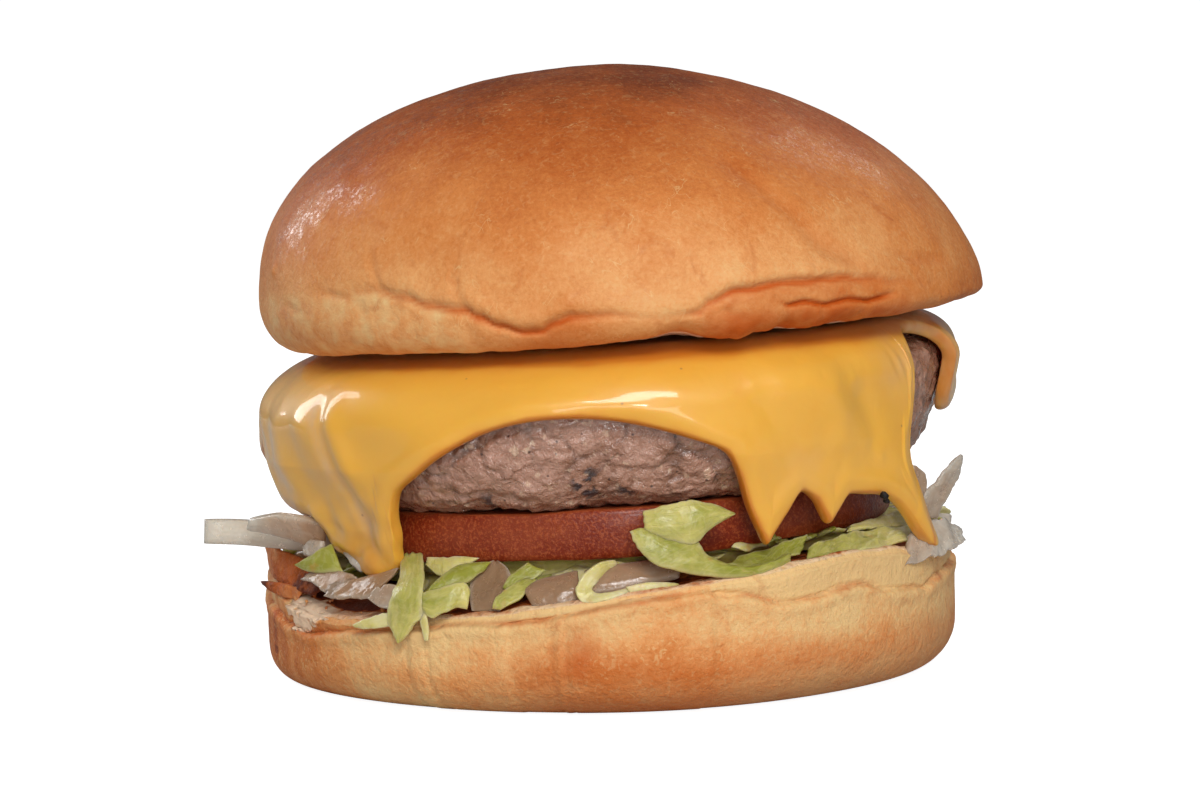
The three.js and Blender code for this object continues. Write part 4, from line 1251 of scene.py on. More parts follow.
def cheese_material(colours):
    """Soft glossy melted cheese: deeper orange at its edge, partly painted shade, beige where thin."""
    values = {"IOR": 1.45, "Specular IOR Level": 0.5, "Subsurface Weight": 0.35,
              "Subsurface Radius": (1.0, 0.55, 0.16), "Subsurface Scale": 0.003,
              "Coat Roughness": 0.08, "Coat IOR": 1.5}
    material, make, shader = new_material("melted cheese", values)
    place = make.place()
    broad, fine = mottle(make, place, 16.0, 1.6)
    thin, hem = make.painted("thin"), make.painted("hem")
    # the hem paint brings painted shade under the top bun and along the hem into these colours
    deep = make.total((broad, 0.8), (hem, 0.5))
    base = make.blend(make.span(deep, 0.35, 1.0), colours.cheese, colours.cheese_deep)
    base = make.blend(make.span(hem, 0.5, 1.0, 0.0, 0.6), base, colours.cheese_edge_shade)
    film = make.clouds(make.stretched(place, (1.0, 1.0, 0.4)), 2.4, 3.0)
    # thin cheese and the painted sheen at the far left turn beige
    veil = make.math("MULTIPLY", thin, make.span(film, 0.3, 0.62, 0.45, 1.0))
    base = make.blend(veil, base, colours.cheese_thin_and_sheen)
    specks = make.span(make.cells(place, 6.5), 0.02, 0.045, 0.5, 0.0)
    base = make.blend(specks, base, colours.beef_brown)
    make.feed(shader.inputs["Base Color"], base)
    rough = make.total((broad, 0.16), (fine, 0.08), (thin, 0.06))
    make.feed(shader.inputs["Roughness"], make.math("ADD", rough, 0.3))
    make.feed(shader.inputs["Coat Weight"], make.span(broad, 0.35, 0.65, 0.75, 0.5))
    normal = make.bump(make.clouds(place, 5.0, 2.0, 0.5, 0.4), 0.14)
    normal = make.bump(fine, 0.02, normal)
    make.feed(shader.inputs["Normal"], normal)
    return material


def tomato_form(s, turn, row):
    """Rows: 0 to 1 underside, 1 to 2 skin, 2 to 3 top."""
    a = half_turns(turn)
    radius = s.tomato_radius - s.tomato_edge + 0.6 * math.sin(3 * a + 1) + 0.3 * math.sin(7 * a)
    if row <= 1:
        return polar(a, radius * row, s.tomato_bottom, s.tomato_centre)
    if row <= 2:
        bend = (row - 1.5) * math.pi
        middle = (s.tomato_bottom + s.tomato_top) / 2
        z = middle + (s.tomato_top - s.tomato_bottom) / 2 * math.sin(bend)
        bulge = s.tomato_edge * math.sqrt(max(0.0, math.cos(bend)))
        return polar(a, radius + bulge, z, s.tomato_centre)
    return polar(a, radius * (3 - row), s.tomato_top, s.tomato_centre)


def build_tomato(s):
    rows = [*steps(0, 0.8, 8), *steps(0.8, 1, 6), *steps(1, 2, 30), *steps(2, 2.2, 6)]
    rows += [*steps(2.2, 3, 8), 3]
    bm = turned(lambda turn, row: tomato_form(s, turn, row), rows, columns(480))

    def depth(co, normal):
        around = Vector((co.x, co.y, co.z * 0.3))
        return 0.3 * cloud(around, 15.0, 2) + 0.1 * cloud(co, 4.0, 3) * abs(normal.z)

    relief(bm, depth)
    paint(bm, "skin", lambda co, normal: 1 - ramp(abs(normal.z), 0.55, 0.85))
    lean(bm)
    return bm


def tomato_material(colours):
    """Wet tomato: red skin with fine pale specks, and softer flesh on the cut faces."""
    values = {"IOR": 1.4, "Specular IOR Level": 0.4, "Subsurface Weight": 0.2,
              "Subsurface Radius": (1.0, 0.25, 0.12), "Subsurface Scale": 0.003,
              "Coat Roughness": 0.14, "Coat IOR": 1.38}
    material, make, shader = new_material("wet tomato", values)
    place = make.place()
    broad, fine = mottle(make, place, 9.0, 0.75)
    skin = make.painted("skin")
    specks = make.span(make.clouds(place, 0.42, 2.0, 0.7), 0.48, 0.62, 0.0, 0.5)
    tone = make.blend(make.span(broad, 0.35, 0.75, 0.0, 0.3), colours.tomato, colours.tomato_pale)
    rind = make.blend(specks, tone, colours.tomato_pale)
    streaks = make.clouds(make.stretched(place, (1.0, 1.0, 0.12)), 1.4, 3.0)
    rind = make.blend(make.span(streaks, 0.52, 0.8, 0.0, 0.22), rind, colours.tomato_pale)
    flesh = make.blend(fine, colours.tomato, colours.tomato_pale)
    make.feed(shader.inputs["Base Color"], make.blend(skin, flesh, rind))
    make.feed(shader.inputs["Roughness"], make.span(fine, 0.3, 0.7, 0.34, 0.58))
    make.feed(shader.inputs["Coat Weight"], make.span(broad, 0.35, 0.6, 0.05, 0.2))
    normal = make.bump(make.clouds(place, 0.42, 2.0, 0.7), 0.12)
    normal = make.bump(make.clouds(place, 2.8, 3.0), 0.16, normal)
    make.feed(shader.inputs["Normal"], normal)
    return material


# ------------------------------------------------------------------ lettuce and onion

# Each leaf lies between two edge lines of (degrees, radius, height) points, in place.
LETTUCE = {
    "lettuce_hanging": [
        dict(
            near=[(-42.2, 46, 22.2), (-37.7, 51, 19.2), (-37, 53.6, 16.7), (-37.2, 54.1, 13.9),
                  (-35.9, 54.3, 12.1), (-34.8, 54.3, 10.8)],
            far=[(-36.9, 46, 22.4), (-32.3, 51, 19.8), (-30.9, 53.4, 17.7), (-30.3, 54.1, 15.2),
                 (-32.1, 54.3, 13.2), (-34.3, 54.3, 11)],
            green=(0.6, 0.25), ragged=0.08, belly=0.4, along=90, around=44,
        ),
        dict(
            near=[(-31.2, 53.8, 16.2), (-31, 54.1, 13.6), (-30.2, 54.3, 11.2)],
            far=[(-30.1, 53.8, 16.3), (-29.6, 54.1, 13.7), (-29.6, 54.3, 11.4)],
            thickness=0.5, green=0.0, ragged=0.1, along=30, around=16,
        ),
    ],
    "lettuce_crossing": [
        dict(
            near=[(-31.5, 52.6, 17.6), (-28.7, 52, 17.9), (-26.5, 51, 18.7), (-24.8, 49, 19.5),
                  (-24.1, 47, 20.6)],
            far=[(-30.5, 52.2, 18.6), (-29.7, 51.6, 19.6), (-28.6, 50, 20.7), (-27, 48, 21.5),
                 (-22.6, 46, 21.8)],
            green=(0.8, 1.1), ragged=0.07, belly=0.3,
        ),
        dict(
            near=[(-35.7, 47, 20.8), (-32, 47.6, 19.6), (-29.7, 47.4, 20.1), (-26.8, 46.4, 21.3)],
            far=[(-36.7, 46, 21.8), (-33.3, 46, 22), (-30.1, 46, 22.2), (-25, 46, 22.2)],
            green=0.1, ragged=0.12,
        ),
    ],
    "lettuce_short": dict(
        near=[(-30.8, 54, 15.4), (-28.9, 54, 14.6), (-26.9, 53.4, 15.3), (-25.8, 52.4, 16),
              (-24.3, 51.6, 15.7)],
        far=[(-31.6, 53, 17.9), (-28.5, 52.4, 18.7), (-26.2, 51.8, 19.4), (-24.9, 51, 19.4),
             (-24.2, 50.6, 18.4)],
        green=(0.6, 0.25), ragged=0.1, belly=0.4,
    ),
    "lettuce_blade": dict(
        near=[(-35.8, 53.2, 15.2), (-39.1, 53.6, 14.7), (-42, 53.9, 13.6), (-44.6, 54.1, 12.7)],
        far=[(-35.8, 53.8, 13.1), (-38, 54, 12.8), (-41, 54.1, 12.3), (-44.4, 54.1, 12.3)],
        green=-0.1, ragged=0.12,
    ),
    "lettuce_green": [
        dict(
            near=[(-20.2, 51.4, 15.9), (-19.7, 51, 17.4), (-18.6, 50, 18.5), (-16.7, 48, 19.4),
                  (-15.4, 46.6, 19.9)],
            far=[(-18.8, 51.4, 15.8), (-16.9, 51, 16.5), (-15.7, 50, 17.4), (-14.7, 48.4, 18.5),
                 (-14, 47, 19.5)],
            green=(0.5, 0.8), ragged=0.1,
        ),
        dict(
            near=[(-19.7, 48.6, 18.5), (-18.4, 47.6, 20.3), (-16, 46, 21.8)],
            far=[(-18.1, 48.6, 17.3), (-15.3, 47.6, 19), (-12.5, 46, 20.7)],
            green=1.3, ragged=0.1, along=40, around=24,
        ),
    ],
    "lettuce_hook": [
        dict(
            near=[(0, 47, 22.2), (-2.8, 48.6, 22.2), (-4.9, 49.6, 21.2), (-6.5, 50.6, 19.8),
                  (-6.7, 51.2, 18.1), (-5.4, 51.6, 16.8), (-2, 51.8, 17.1), (1.7, 51.6, 18.2)],
            far=[(-0.4, 46.6, 21.3), (-2, 47.8, 20.6), (-3.2, 48.8, 19.7), (-3.9, 49.8, 18.9),
                 (-4.2, 50.4, 18.4), (-3.6, 50.8, 18.1), (-1.7, 51, 18.1), (1.5, 51, 18.9)],
            thickness=0.7, green=(0.2, -0.1), ragged=0.1, along=110,
        ),
        dict(
            near=[(1.2, 51.6, 18.2), (4, 51.4, 18.2), (6.7, 51, 18.4), (9.7, 50.4, 18.5)],
            far=[(1, 51.2, 18.9), (3.7, 51, 19.4), (6.5, 50.6, 19.3), (9.6, 50, 18.9)],
            thickness=0.6, green=0.0, ragged=0.14,
        ),
    ],
    "lettuce_curl": [
        dict(
            near=[(1.7, 51.6, 26.7), (2.4, 52.2, 25.3), (3.6, 52.6, 23.7), (5.6, 52.8, 22.1),
                  (8.6, 52.8, 21.2), (12.6, 52.6, 20.3), (17.2, 52.2, 19.7), (21.5, 51.8, 19.5),
                  (25.6, 51, 20), (29.8, 50, 21.1)],
            far=[(4.3, 50.6, 26.6), (6.6, 50.6, 26.2), (9.7, 50.8, 25.5), (12.5, 50.8, 24.9),
                 (13.7, 51, 23.2), (15.6, 51, 22.1), (18, 50.8, 21.2), (20.9, 50.6, 20.7),
                 (24.8, 50, 20.9), (28.8, 49, 21.9)],
            belly=0.7, green=(0.55, 0.75), ragged=0.03, along=130, around=52,
        ),
        dict(
            near=[(4.2, 51, 25.8), (6.8, 51.8, 25.3), (9.8, 52, 24.7), (12.2, 51.8, 24.8),
                  (13.8, 51.4, 26.1), (15.9, 51, 27.2), (18.9, 50.2, 28.1)],
            far=[(3.9, 50.6, 29.4), (5.9, 50.8, 29.9), (7.9, 51, 30.4), (10.5, 51, 30.8),
                 (13, 51, 30.5), (15.7, 50.8, 29.8), (18.7, 50.2, 28.5)],
            belly=0.6, green=(0.25, 0.65), ragged=0.05, along=90, around=52,
        ),
        # the inner sheet is painted a deeper green, as shade in the curl's hollow
        dict(
            near=[(16.9, 50.6, 21.3), (20.6, 50.2, 20.6), (25, 49.6, 20.6), (28.8, 49, 21.3),
                  (33, 48.4, 21.6)],
            far=[(20.7, 46.5, 21.7), (24.7, 46.5, 22.2), (28.7, 46.5, 22.9), (32.1, 46.5, 23.4),
                 (35.6, 46.5, 23.9)],
            belly=-0.4, green=1.4, ragged=0.08,
        ),
    ],
    "lettuce_band": [
        dict(
            near=[(31.3, 50.6, 20.1), (36.1, 50.8, 20.5), (42, 50.6, 20.9), (49.7, 50.2, 21.2),
                  (60.6, 49.8, 20.8)],
            far=[(34.1, 48, 22.3), (40, 47.6, 23.1), (46.4, 47.4, 23.4), (54.9, 47.4, 23.2),
                 (66, 47.6, 22.6)],
            ruffle=0.25, waves=3, green=(0.7, 0.2), ragged=0.05, along=110, crinkle=0.35,
        ),
        dict(
            near=[(44, 47.2, 23.6), (50.7, 47.2, 23.4), (57.9, 47.4, 23), (66.4, 47.6, 22.4)],
            far=[(46.8, 46, 24.2), (53.7, 46, 24.5), (61.6, 46, 24.8), (68.4, 46.4, 24.8)],
            green=0.1, ragged=0.1,
        ),
    ],
    "lettuce_under_drip": dict(
        near=[(-63.4, 52.8, 19.4), (-59.4, 52.4, 18.8), (-55.5, 51.4, 18.8), (-52, 50, 19.2)],
        far=[(-61.6, 52.6, 20.1), (-59.2, 51.6, 21.3), (-58.1, 50.6, 22.2), (-57, 49.4, 22.8)],
        green=1.1, ragged=0.06, belly=0.4,
    ),
}
ONION = {
    "onion_rod": dict(
        near=[(-80, 63, 21.3), (-78.5, 57, 21), (-73, 49, 20.3), (-66, 43.5, 20.2)],
        far=[(-80, 62.8, 25), (-78.5, 57, 24.8), (-73, 49, 23.8), (-66, 43.5, 23)],
        thickness=3, lilac=(-0.3, 0.5), blunt=14,
    ),
    # whiter at its left end as a painted highlight, deeper towards the right as painted shade
    "onion_wedge": dict(
        near=[(-73, 57.4, 24.2), (-67.5, 53.6, 23.4), (-61, 49, 21.6)],
        far=[(-71.4, 57.2, 25.8), (-65.4, 54, 26.9), (-58, 49.5, 26)],
        thickness=1.8, lilac=(0.0, 0.8), crinkle=0.2,
    ),
    "onion_curve": [
        dict(
            near=[(-62, 52.6, 17.4), (-57.6, 52.8, 17.5), (-53.6, 53, 16.5), (-50.4, 53, 16.2)],
            far=[(-60, 51.4, 18.6), (-56, 50.6, 19.2), (-52, 50.2, 19.1), (-48, 50, 18.9)],
            lilac=(0.5, 0.8), ragged=0.22, along=80,
        ),
        dict(
            near=[(-53, 53.2, 15.9), (-49.1, 53.2, 15.9), (-44.2, 53, 16.3), (-40.4, 52.8, 16.9)],
            far=[(-52.6, 52, 17.6), (-47.9, 50, 18.5), (-44, 49, 19.3), (-40.2, 48, 20.5)],
            lilac=(0.6, 0.9), ragged=0.16, belly=0.2, along=80, crinkle=0.4,
        ),
        dict(
            near=[(-42, 53.4, 16.6), (-38.6, 53.8, 15.5), (-36, 53.8, 15.7)],
            far=[(-41, 52.4, 18), (-38.9, 52, 18.6), (-36.8, 51.8, 18.5)],
            lilac=0.45, ragged=0.3, along=40, around=24,
        ),
    ],
    "onion_chip": [
        dict(
            near=[(-55.4, 48.6, 22), (-52.6, 48.8, 20.3), (-49.6, 49, 19.4)],
            far=[(-52.6, 47, 22.4), (-49, 47.2, 21), (-46, 47.6, 19.6)],
            thickness=1.4, lilac=0.1, ragged=0.08,
        ),
        dict(
            near=[(-62.8, 51.6, 20.7), (-63.3, 51.2, 22.2), (-61.4, 50.8, 23.3)],
            far=[(-59.7, 51.4, 20.5), (-58.1, 50.6, 21.9), (-58.2, 50.2, 23.2)],
            thickness=1.2, lilac=0.35, ragged=0.12,
        ),
    ],
    # painted deep all over: painted shade seen through the clear onion
    "onion_clear": dict(
        near=[(-24.2, 50.4, 15.3), (-25.4, 49, 17.7), (-25.8, 47.4, 19.4), (-24.5, 45.6, 21),
              (-22.9, 45, 21.8)],
        far=[(-19.4, 50.2, 15.3), (-19, 48.6, 17.5), (-18.4, 47.4, 19.1), (-19.7, 46, 20.8),
             (-22.3, 45, 21.8)],
        lilac=(1.0, 0.8), belly=0.3, thickness=0.8,
    ),
    "onion_front": dict(
        near=[(-16.2, 48, 18.1), (-13.6, 47.4, 19.4), (-10.4, 47, 20), (-7.1, 46, 20.6)],
        far=[(-13.8, 50.4, 15.8), (-11.3, 50.6, 15.5), (-8.9, 50.4, 15.9), (-6.1, 49.6, 16.9)],
        thickness=1.4, belly=-0.7, lilac=(0.7, 0.85),
    ),
    "onion_middle": dict(
        near=[(-5.9, 46.6, 20.6), (-1.2, 46.4, 21.2), (4, 46, 21.6), (12, 45.4, 21.8)],
        far=[(-5.5, 49.6, 17.6), (-0.6, 49.6, 18), (4, 49.2, 18.8), (10, 48.8, 19.6)],
        thickness=1.4, belly=-0.5, lilac=(0.8, 0.6),
    ),
    "onion_rim": dict(
        near=[(52, 52.2, 18.2), (58, 53, 18.5), (64, 54.2, 18.9), (71, 54.6, 19.6)],
        far=[(57.5, 49.8, 21.8), (63, 50.8, 23.6), (67.5, 52.2, 23.3), (72.5, 53.6, 21.8)],
        thickness=1, ruffle=0.3, lilac=(0.4, -0.05), ragged=0.14, crinkle=0.4,
    ),
    "onion_sprig": [
        dict(
            near=[(60, 51.2, 24.6), (60.2, 51.8, 28), (62, 52.6, 29.2), (63, 53.4, 30.6),
                  (64.6, 54.2, 31.9), (68.3, 54.9, 33)],
            far=[(65.3, 52, 23.4), (65.6, 52.6, 25.6), (66.4, 53.6, 27.8), (67.6, 54.3, 29.1),
                 (68.4, 54.8, 30.9), (68.8, 54.9, 32.6)],
            thickness=0.8, lilac=(0.5, 0.2), ragged=0.08, crinkle=0.3, along=80,
        ),
        dict(
            near=[(56.6, 50.4, 27), (56.6, 50.8, 30.4), (57, 51.4, 32.4)],
            far=[(61.4, 51.6, 27), (60.8, 51.8, 30.4), (57.8, 51.6, 32.2)],
            thickness=0.8, lilac=0.6, ragged=0.1,
        ),
    ],
}


def edge_line(points):
    """The places of (degrees, radius, height) points."""
    return [polar(math.radians(degrees), r, z) for degrees, r, z in points]


def build_leaves(shapes, **common):
    """One mesh of a leaf, or of several that make one piece."""
    shapes = shapes if isinstance(shapes, list) else [shapes]
    leaves = [build_leaf(**{**common, **shape}) for shape in shapes]
    return leaves[0] if len(leaves) == 1 else joined(leaves)


def build_leaf(near, far, thickness=0.8, belly=0.0, ruffle=0.0, waves=2, ragged=0.0,
               along=64, around=32, blunt=8, crinkle=0.22, seed=0.0, **tints):
    """A thin crinkled leaf between two edge lines, closed all round, with ragged edges.

    `belly` bows it, `ruffle` waves its edges, `ragged` tears them and `blunt` squares its ends.
    Each tint is one number or a (start, end) pair, stored for a material to read.
    """
    near, far = edge_line(near), edge_line(far)
    length = sum((b - a).length for a, b in zip(near, near[1:]))
    width = (near[len(near) // 2] - far[len(far) // 2]).length

    @functools.cache
    def spot(s, t):
        return smooth_line(near, s).lerp(smooth_line(far, s), t)

    def bite(x, side):
        """How far the torn edge cuts in at `x` millimetres along it."""
        here = Vector((x, side * 7.3, seed * 3.1))
        return ragged * max(0.0, 0.1 + cloud(here, 3.0) + 0.7 * cloud(here, 1.2))

    def form(turn, row):
        flat = 0.5 - 0.5 * math.cos(2 * math.pi * turn)
        s = lerp(0.6 * bite(flat * width, 3), 1 - 0.6 * bite(flat * width, 4), row)
        t = lerp(bite(s * length, 1), 1 - bite(s * length, 2), flat)
        s, t = min(0.998, max(0.002, s)), min(1.0, max(0.0, t))
        here = spot(s, t)
        step_s = 0.01 if s < 0.9 else -0.01
        step_t = 0.02 if t < 0.9 else -0.02
        tangent = (spot(s + step_s, t) - here) / step_s
        across = (spot(s, t + step_t) - here) / step_t
        face = tangent.cross(across).normalized()
        sheet = Vector((s * length, t * width, seed * 5.7))
        lift = belly * 4 * t * (1 - t) + ruffle * math.sin(2 * math.pi * waves * s) * (2 * t - 1)
        lift += crinkle * (cloud(sheet, 2.6) + 0.5 * abs(cloud(sheet, 1.3)))
        round_rim = abs(math.sin(2 * math.pi * turn)) ** 0.4
        end = max(0.0, 1 - abs(2 * row - 1) ** blunt) ** 0.5
        side = math.copysign(0.5, math.sin(2 * math.pi * turn)) * round_rim * end
        return here + face * (lift + side * thickness)

    bm = turned(form, [*steps(0, 1, along), 1], 2 * round(around * DETAIL / 2))
    names = ("along", "across", "edge", *tints)
    for name in names:
        bm.verts.layers.float.new(name)
    stored = bm.verts.layers.float
    for vert in bm.verts:
        row = vert[stored["row"]]
        flat = 0.5 - 0.5 * math.cos(2 * math.pi * vert[stored["turn"]])
        shares = [lerp(*tint, row) if isinstance(tint, tuple) else tint for tint in tints.values()]
        edge = ramp(abs(flat - 0.5), 0.34, 0.5)
        values = (row * length * MM, (flat * width + 9 * seed) * MM, edge, *shares)
        for name, value in zip(names, values):
            vert[stored[name]] = value
    return bm


def slice_underside(x):
    """Height of the leaning tomato's underside at `x`."""
    return STACK_PIVOT + SLICE_LIFT / math.cos(STACK_TILT) + x * math.tan(STACK_TILT)


def strip_shape(heel, rng, at, inside, reach, wide):
    """The edge lines of one shred that comes out of the heap at `at` degrees.

    It runs from the radius `inside` to `reach` and is `wide` degrees to each side.
    """
    a = math.radians(at)
    level = heel_rim(heel, a)
    roof = slice_underside(inside * math.sin(a))
    mouth = lerp(level, roof, rng.uniform(0.35, 0.75))
    skew = rng.uniform(-9, 9)
    twist = rng.uniform(-1.3, 1.3)
    tip = level + rng.uniform(0.9, 2.6)
    ceiling = hem_height(a) - 1.6
    past_slice = 46
    if reach > past_slice and tip > ceiling:
        tip = max(level + 0.8, ceiling)

    def edge(shift, lift):
        return [
            (at - skew + shift, inside, mouth),
            (at - 0.2 * skew + shift, lerp(inside, reach, 0.4), mouth + lift * 0.4),
            (at + 0.5 * skew + shift, lerp(inside, reach, 0.75), lerp(mouth, tip, 0.6) + lift),
            (at + skew + shift * 0.5, reach, tip + lift * 0.6),
        ]

    return dict(near=edge(-wide, twist), far=edge(wide, -twist * 0.5))


def build_bed(s, heel, filling):
    """The heap of shreds over its own core, between the bun and the tomato."""
    rng = random.Random(filling.seed)
    gap = 0.35  # air kept between the core and what is above and below it

    def core(turn, row):
        a = half_turns(turn)
        radius = s.bed + 0.8 * math.sin(4 * a + 2) + 0.5 * math.sin(9 * a)
        r = radius * min(row, 1, 3 - row)
        at = polar(a, r, 0)
        if row <= 1:
            out = r / (heel.radius - heel.rim)
            at.z = heel_face(heel, a, out) + gap
        else:
            at.z = slice_underside(at.x) - gap
        return at

    bm = turned(core, [0, 0.5, 0.8, 1, *steps(1.02, 1.98, 5), 2, 2.4, 3], columns(160))
    relief(bm, lambda co, normal: 0.7 * cloud(co, 3.0, 2) if abs(normal.z) < 0.6 else 0.0)
    paint(bm, "green", lambda co, normal: 0.35)
    parts = [bm]
    for even in [-180 + 360 * i / filling.strips for i in range(filling.strips)]:
        at = even + rng.uniform(-3, 3)
        behind_leaves = abs(at) < 80
        reach = rng.uniform(43.0, 45.6) if behind_leaves else rng.uniform(45.5, 52.2)
        wide = rng.uniform(1.3, 3.6)
        shape = strip_shape(heel, rng, at, 37.0, reach, wide)
        leaf = build_leaf(
            **shape, thickness=rng.uniform(0.45, 0.8), ruffle=rng.uniform(0, 0.5), ragged=0.16,
            along=22, around=16, seed=rng.uniform(0, 90), green=rng.choice((0.05, 0.3, 0.5, 0.9)),
        )
        parts.append(leaf)
    return joined(parts)


def build_onion_bits(heel, filling):
    """Slivers of onion among the lettuce at the sides and the back."""
    rng = random.Random(filling.seed + 1)
    parts = []
    for at in (84, 97, 118, 131, 149, 163, 186, 201, 219, 238, 251, 264, 274):
        shape = strip_shape(heel, rng, at + rng.uniform(-3, 3), 40.0, rng.uniform(47, 51.5), 1.3)
        leaf = build_leaf(
            **shape, thickness=1.3, along=26, around=20, ragged=0.06, blunt=12, crinkle=0.08,
            seed=rng.uniform(0, 90), lilac=rng.uniform(0, 0.8),
        )
        parts.append(leaf)
    return joined(parts)


def sheet_place(make):
    """The point on a leaf, measured along and across it."""
    inputs = {"X": make.painted("along"), "Y": make.painted("across")}
    return make.add("ShaderNodeCombineXYZ", inputs).outputs[0]


def leaf_material(colours):
    """Crisp wet lettuce: pale ribs that run along it, pale torn edges and green between."""
    values = {"IOR": 1.4, "Specular IOR Level": 0.5, "Subsurface Weight": 0.5,
              "Subsurface Radius": (0.8, 1.0, 0.25), "Subsurface Scale": 0.0022,
              "Coat Roughness": 0.16, "Coat IOR": 1.35}
    material, make, shader = new_material("crisp lettuce", values)
    place, sheet = make.place(), sheet_place(make)
    broad, fine = mottle(make, place, 4.0, 0.9)
    ribs = make.clouds(make.stretched(sheet, (0.14, 1.0, 1.0)), 1.3, 3.0, 0.6, 0.4)
    green = make.total((make.painted("green"), 0.62), (broad, 0.7), (ribs, 0.5), (fine, 0.1))
    base = make.shades(make.math("SUBTRACT", green, 0.32), [
        (0.12, colours.leaf_rib), (0.42, colours.leaf_pale), (0.85, colours.leaf_green),
    ])
    net = make.math("ABSOLUTE", make.math("SUBTRACT", make.clouds(sheet, 2.2, 2.0, 0.5, 0.6), 0.5))
    vein = make.math("MULTIPLY", make.span(net, 0.0, 0.07, 1.0, 0.0), 0.13)
    base = make.blend(vein, base, colours.leaf_rib)
    base = make.blend(make.math("MULTIPLY", make.painted("edge"), 0.3), base, colours.leaf_rib)
    bruise = make.span(make.clouds(place, 3.0, 4.0), 0.6, 0.78, 0.0, 0.4)
    base = make.blend(bruise, base, colours.crust_gold)
    make.feed(shader.inputs["Base Color"], base)
    make.feed(shader.inputs["Roughness"], make.span(fine, 0.3, 0.7, 0.28, 0.5))
    make.feed(shader.inputs["Coat Weight"], make.span(broad, 0.45, 0.7, 0.05, 0.5))
    normal = make.bump(ribs, 0.22)
    normal = make.bump(vein, 0.12, normal)
    normal = make.bump(make.clouds(place, 1.6, 3.0), 0.18, normal)
    make.feed(shader.inputs["Normal"], normal)
    return material


def onion_material(colours):
    """Wet translucent onion: soft fibres, whiter cut edges, painted shade behind it where it is clear.
    """
    values = {"IOR": 1.38, "Specular IOR Level": 0.5, "Subsurface Weight": 0.5,
              "Subsurface Radius": (1.0, 0.85, 0.7), "Subsurface Scale": 0.004,
              "Transmission Weight": 0.3, "Coat Roughness": 0.12, "Coat IOR": 1.38}
    material, make, shader = new_material("wet onion", values)
    place, sheet = make.place(), sheet_place(make)
    broad, fine = mottle(make, place, 4.0, 1.4)
    fibres = make.clouds(make.stretched(sheet, (0.1, 1.0, 1.0)), 1.2, 2.0, 0.5)
    tint = make.total((make.painted("lilac"), 0.55), (broad, 0.35), (fibres, 0.2))
    # tints past the pinkish cast run into onion_deep: painted shade behind clear onion
    base = make.shades(make.math("SUBTRACT", tint, 0.1), [
        (0.15, colours.onion), (0.55, colours.onion_lilac), (0.95, colours.onion_deep),
    ])
    base = make.blend(make.math("MULTIPLY", make.painted("edge"), 0.3), base, colours.onion)
    make.feed(shader.inputs["Base Color"], base)
    make.feed(shader.inputs["Roughness"], make.span(fine, 0.3, 0.7, 0.14, 0.3))
    make.feed(shader.inputs["Coat Weight"], make.span(broad, 0.45, 0.7, 0.1, 0.7))
    normal = make.bump(fibres, 0.1)
    normal = make.bump(make.clouds(place, 2.4, 2.0), 0.3, normal)
    make.feed(shader.inputs["Normal"], normal)
    return material


# ------------------------------------------------------------------ crumbs and char

CHAR_BITS = [  # (degrees, radius, height, size), most of them on the cheese and the patty
    (46.0, 53.0, 29.1, 0.6), (46.8, 52.8, 28.2, 0.42), (176, 50.5, 37, 0.7), (236, 50, 30, 0.6),
    (141, 51, 28, 0.5),
]


def build_bit(place, size_mm, seed):
    """A small crumb with a broken surface."""
    bm = bmesh.new()
    bmesh.ops.create_icosphere(bm, subdivisions=2, radius=size_mm)
    for vert in bm.verts:
        vert.co *= 1 + 0.6 * cloud(vert.co, size_mm * 0.9, seed)
        vert.co += place
    return bm


def build_crumbs(heel, filling):
    """Loose crumbs along the cut rim of the bottom bun."""
    rng = random.Random(filling.seed + 2)
    parts = []
    for _ in range(34):
        places = (rng.gauss(TORN_SIDE, 12), rng.uniform(-180, 180), rng.uniform(-180, 180))
        at = math.radians(rng.choice(places))
        out = rng.uniform(47.5, 51.0)
        z = heel_face(heel, at, out / (heel.radius - heel.rim))
        size_mm = rng.uniform(0.14, 0.38)
        place = polar(at, out, z + size_mm * 0.4, heel.centre)
        parts.append(build_bit(place, size_mm, rng.uniform(0, 50)))
    bm = joined(parts)
    for name, value in (("bake", 0.55), ("crumb", 0.4), ("toast", 0.2)):
        paint(bm, name, lambda co, normal: value + 0.5 * cloud(co, 3.0, 1))
    return bm


def build_flake():
    """The torn toasted edge that stands up at the left, with a pointed flake under it."""
    flake = dict(
        near=[(-66, 50.6, 15.4), (-73, 52.4, 15.7), (-79.5, 54.6, 15.3)],
        far=[(-68, 51.4, 13.4), (-74, 52.8, 13.8), (-79.8, 54.6, 14.9)],
        toast=(0.0, 0.9),
    )
    edge = dict(
        near=[(-62, 50.6, 14.8), (-70, 51.4, 15.0), (-80, 52.6, 15.6), (-92, 52.6, 16.6)],
        far=[(-58, 47.4, 18.0), (-66, 48.6, 19.0), (-78, 52.6, 20.6), (-90, 54.2, 21.4)],
        toast=(1.0, -0.15),
    )
    bm = build_leaves([flake, edge], ragged=0.1, along=60, around=44, seed=4.0, thickness=1.0)
    paint(bm, "bake", lambda co, normal: 0.5 + 0.3 * cloud(co, 1.5, 2))
    paint(bm, "fold", lambda co, normal: 0.3 + 0.3 * cloud(co, 2.4, 5))
    paint(bm, "crumb", lambda co, normal: 0.3)
    return bm


